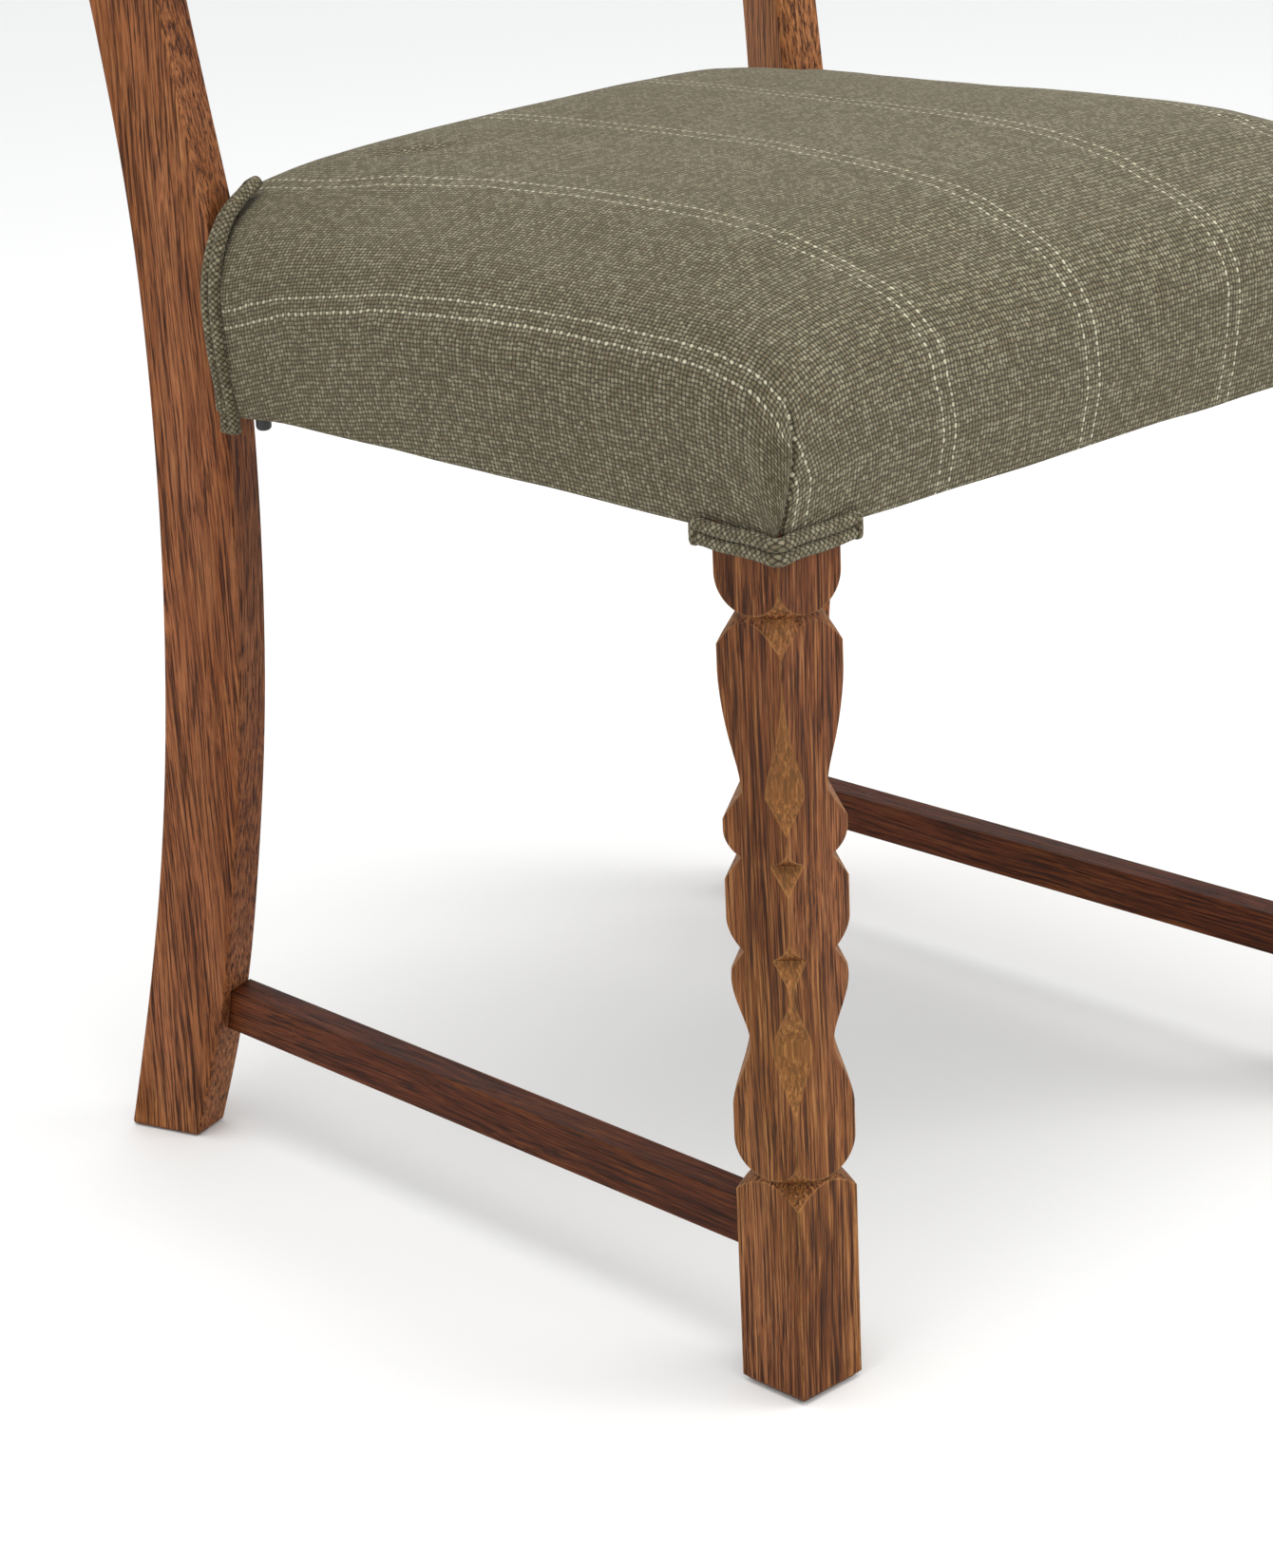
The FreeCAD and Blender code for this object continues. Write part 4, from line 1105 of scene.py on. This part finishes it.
def strapMaterial(name, light, dark, along):
    # jute webbing or hessian: crossing yarns on the object's own X and Y
    t = Tree(name)
    split = t.add("ShaderNodeSeparateXYZ", Vector=t.stretched(t.place, (along, along, along)))
    first, second = (t.maths("SINE", t.times(split.outputs[k], math.pi)) for k in (0, 1))
    woven = t.times(first, second)
    hairy = t.noise(t.place, 1400.0, 3.0, 0.7)
    colour = t.mix(t.smooth(woven, -0.6, 0.7), dark, light)
    colour = t.mix(t.smooth(hairy, 0.35, 0.75, 0.0, 0.5), colour, dark)
    relief = t.bump(t.plus(woven, hairy), 0.8, 0.0004)
    return t.finished(colour, t.smooth(hairy, 0.2, 0.8, 0.85, 0.98), relief)


def fillingMaterial(name, light, dark, scale):
    t = Tree(name)
    cells = t.add("ShaderNodeTexVoronoi", Vector=t.place, Scale=scale).outputs["Distance"]
    cloudy = t.noise(t.place, 30.0, 4.0, 0.6)
    colour = t.mix(t.smooth(cells, 0.1, 0.6), dark, light)
    colour = t.mix(t.smooth(cloudy, 0.4, 0.8, 0.0, 0.4), colour, dark)
    return t.finished(colour, t.smooth(cloudy, 0.2, 0.8, 0.86, 0.97), t.bump(cells, 0.7, 0.0006))


steel = metalMaterial("dullSteel", tone(150, 150, 152), tone(104, 98, 92), 0.34)
blackPlastic = plasticMaterial("blackPlastic", tone(22, 22, 23))
jute = strapMaterial("juteWebbing", tone(176, 148, 106), tone(112, 86, 54), 520)
sacking = strapMaterial("hessian", tone(168, 138, 94), tone(92, 68, 40), 700)
for nodeName, material in {
    "corner_block_screws": steel,
    "webbing_front_to_back": jute,
    "webbing_side_to_side": jute,
    "hessian_sheet": sacking,
    "foam_pad": fillingMaterial("foam", tone(232, 222, 190), tone(200, 184, 146), 900),
    "wadding_layer": fillingMaterial("wadding", tone(240, 238, 230), tone(214, 210, 198), 420),
    "bolt_caps": blackPlastic,
}.items():
    paint(cadNodes[nodeName], material)
    smoothShown(cadNodes[nodeName])


def islands(node):
    # lowest and highest corner of each separate solid of a CAD node
    work = bmesh.new()
    work.from_mesh(node.data)
    bmesh.ops.remove_doubles(work, verts=work.verts, dist=0.000001)
    found, seen = [], set()
    for first in work.verts:
        if first in seen:
            continue
        group, queue = [], [first]
        seen.add(first)
        while queue:
            v = queue.pop()
            group.append(v.co[:])
            for e in v.link_edges:
                other = e.other_vert(v)
                if other not in seen:
                    seen.add(other)
                    queue.append(other)
        group = np.array(group)
        found.append((group.min(0), group.max(0)))
    work.free()
    return found


# staples and tacks, set out on the places that the frame gives

staple = {"wire": 0.0007, "bow": 0.00025, "skew": 4.0, "seed": 7}
tack = {"headRise": 0.0011, "neck": 0.0007, "tip": 0.0001, "short": 0.0006, "seed": 3}


class Rule(Graph):
    # a node tree that sets copies of one small shape out on points
    def __init__(self, name, sizes):
        self.tree = bpy.data.node_groups.new(name, "GeometryNodeTree")
        super().__init__(self.tree)
        face = self.tree.interface
        face.new_socket("Geometry", in_out="INPUT", socket_type="NodeSocketGeometry")
        for label, value in sizes.items():
            face.new_socket(label, in_out="INPUT", socket_type="NodeSocketFloat").default_value = value
        face.new_socket("Seed", in_out="INPUT", socket_type="NodeSocketInt").default_value = 1
        face.new_socket("Metal", in_out="INPUT", socket_type="NodeSocketMaterial")
        face.new_socket("Geometry", in_out="OUTPUT", socket_type="NodeSocketGeometry")
        self.given = self.add("NodeGroupInput").outputs

    def xyz(self, x=0.0, y=0.0, z=0.0):
        return self.add("ShaderNodeCombineXYZ", i0=x, i1=y, i2=z).outputs[0]

    def ended(self, shape, turn):
        placed = self.add("GeometryNodeInstanceOnPoints", Points=self.given["Geometry"], Instance=shape,
                          Rotation=turn).outputs[0]
        real = self.add("GeometryNodeRealizeInstances", i0=placed).outputs[0]
        coat = self.add("GeometryNodeSetMaterial", Geometry=real, Material=self.given["Metal"]).outputs[0]
        self.add("NodeGroupOutput", i0=coat)
        return self.tree


def stapleTree():
    r = Rule("stapleRow", {"Crown": 0.01, "Wire": 0.0007, "Bow": 0.0002, "Skew": 0.05})
    half, skew = r.times(r.given["Crown"], 0.5), r.given["Skew"]
    curve = r.add("GeometryNodeCurveQuadraticBezier", Resolution=8, Start=r.xyz(r.times(half, -1.0)),
                  Middle=r.xyz(z=r.times(r.given["Bow"], -2.0)), End=r.xyz(half)).outputs[0]
    ring = r.add("GeometryNodeCurvePrimitiveCircle", Resolution=8, Radius=r.times(r.given["Wire"], 0.5))
    wire = r.add("GeometryNodeCurveToMesh", Curve=curve, Profile_Curve=ring.outputs[0], Fill_Caps=True)
    turn = r.add("GeometryNodeInputNamedAttribute", {"data_type": "FLOAT"}, Name="turn").outputs[0]
    chance = r.add("FunctionNodeRandomValue", {"data_type": "FLOAT"}, i2=r.times(skew, -1.0), i3=skew,
                   Seed=r.given["Seed"]).outputs[1]
    return r.ended(wire.outputs[0], r.xyz(z=r.plus(turn, chance)))


def tackTree():
    r = Rule("tackRow", {"Head": 0.003, "Rise": 0.001, "Nail": 0.01})
    head, nail = r.given["Head"], r.given["Nail"]
    dome = r.add("GeometryNodeMeshUVSphere", Segments=12, Rings=6, Radius=1.0).outputs[0]
    dome = r.add("GeometryNodeTransform", Geometry=dome,
                 Scale=r.xyz(head, head, r.given["Rise"])).outputs[0]
    spike = r.add("GeometryNodeMeshCone", Vertices=8, Radius_Top=tack["neck"], Radius_Bottom=tack["tip"],
                  Depth=nail).outputs[0]
    spike = r.add("GeometryNodeTransform", Geometry=spike,
                  Translation=r.xyz(z=r.times(nail, -1.0))).outputs[0]
    both = r.add("GeometryNodeJoinGeometry", i0=dome)
    r.put(both, "i0", spike)
    spin = r.add("FunctionNodeRandomValue", {"data_type": "FLOAT_VECTOR"}, i0=(-0.05, -0.05, -3),
                 i1=(0.05, 0.05, 3), Seed=r.given["Seed"]).outputs[0]
    return r.ended(both.outputs[0], spin)


def setOut(name, places, turns, tree, values, node):
    # points with a turn each, run through the tree and made plain
    mesh = bpy.data.meshes.new(name)
    mesh.from_pydata([tuple(p) for p in places], [], [])
    turn = mesh.attributes.new("turn", "FLOAT", "POINT")
    turn.data.foreach_set("value", turns)
    piece = bpy.data.objects.new(name, mesh)
    scene.collection.objects.link(piece)
    rule = piece.modifiers.new("rule", "NODES")
    rule.node_group = tree
    for item in tree.interface.items_tree:
        if item.in_out == "INPUT" and item.name in values:
            rule[item.identifier] = values[item.name]
    piece.update_tag()
    settled(piece)
    for polygon in piece.data.polygons:
        polygon.use_smooth = True
    standsFor(piece, node)


def makeStaples():
    places, turns, crown = [], [], 0.01
    for low, high in islands(cadNodes["dust_cover_staples"]):
        size = high - low
        middle = (low + high) / 2
        crown = max(size[0], size[1])
        places.append((middle[0], middle[1], high[2] - staple["wire"] / 2))
        turns.append(0.0 if size[0] > size[1] else math.pi / 2)
    values = {"Crown": float(crown), "Wire": staple["wire"], "Bow": staple["bow"],
              "Skew": math.radians(staple["skew"]), "Seed": staple["seed"], "Metal": steel}
    setOut("dustCoverStaples", places, turns, stapleTree(), values, "dust_cover_staples")


def makeTacks():
    places, heads, tops = [], [], []
    for low, high in islands(cadNodes["webbing_tacks"]):
        size = high - low
        middle = (low + high) / 2
        heads.append(max(size[0], size[1]) / 2)
        tops.append(size[2])
        places.append((middle[0], middle[1], high[2] - tack["headRise"]))
    values = {"Head": float(np.mean(heads)), "Rise": tack["headRise"],
              "Nail": float(np.mean(tops)) / 2 - tack["short"], "Seed": tack["seed"], "Metal": steel}
    setOut("webbingTacks", places, [0.0] * len(places), tackTree(), values, "webbing_tacks")


makeStaples()
makeTacks()
print("staples and tacks ready")
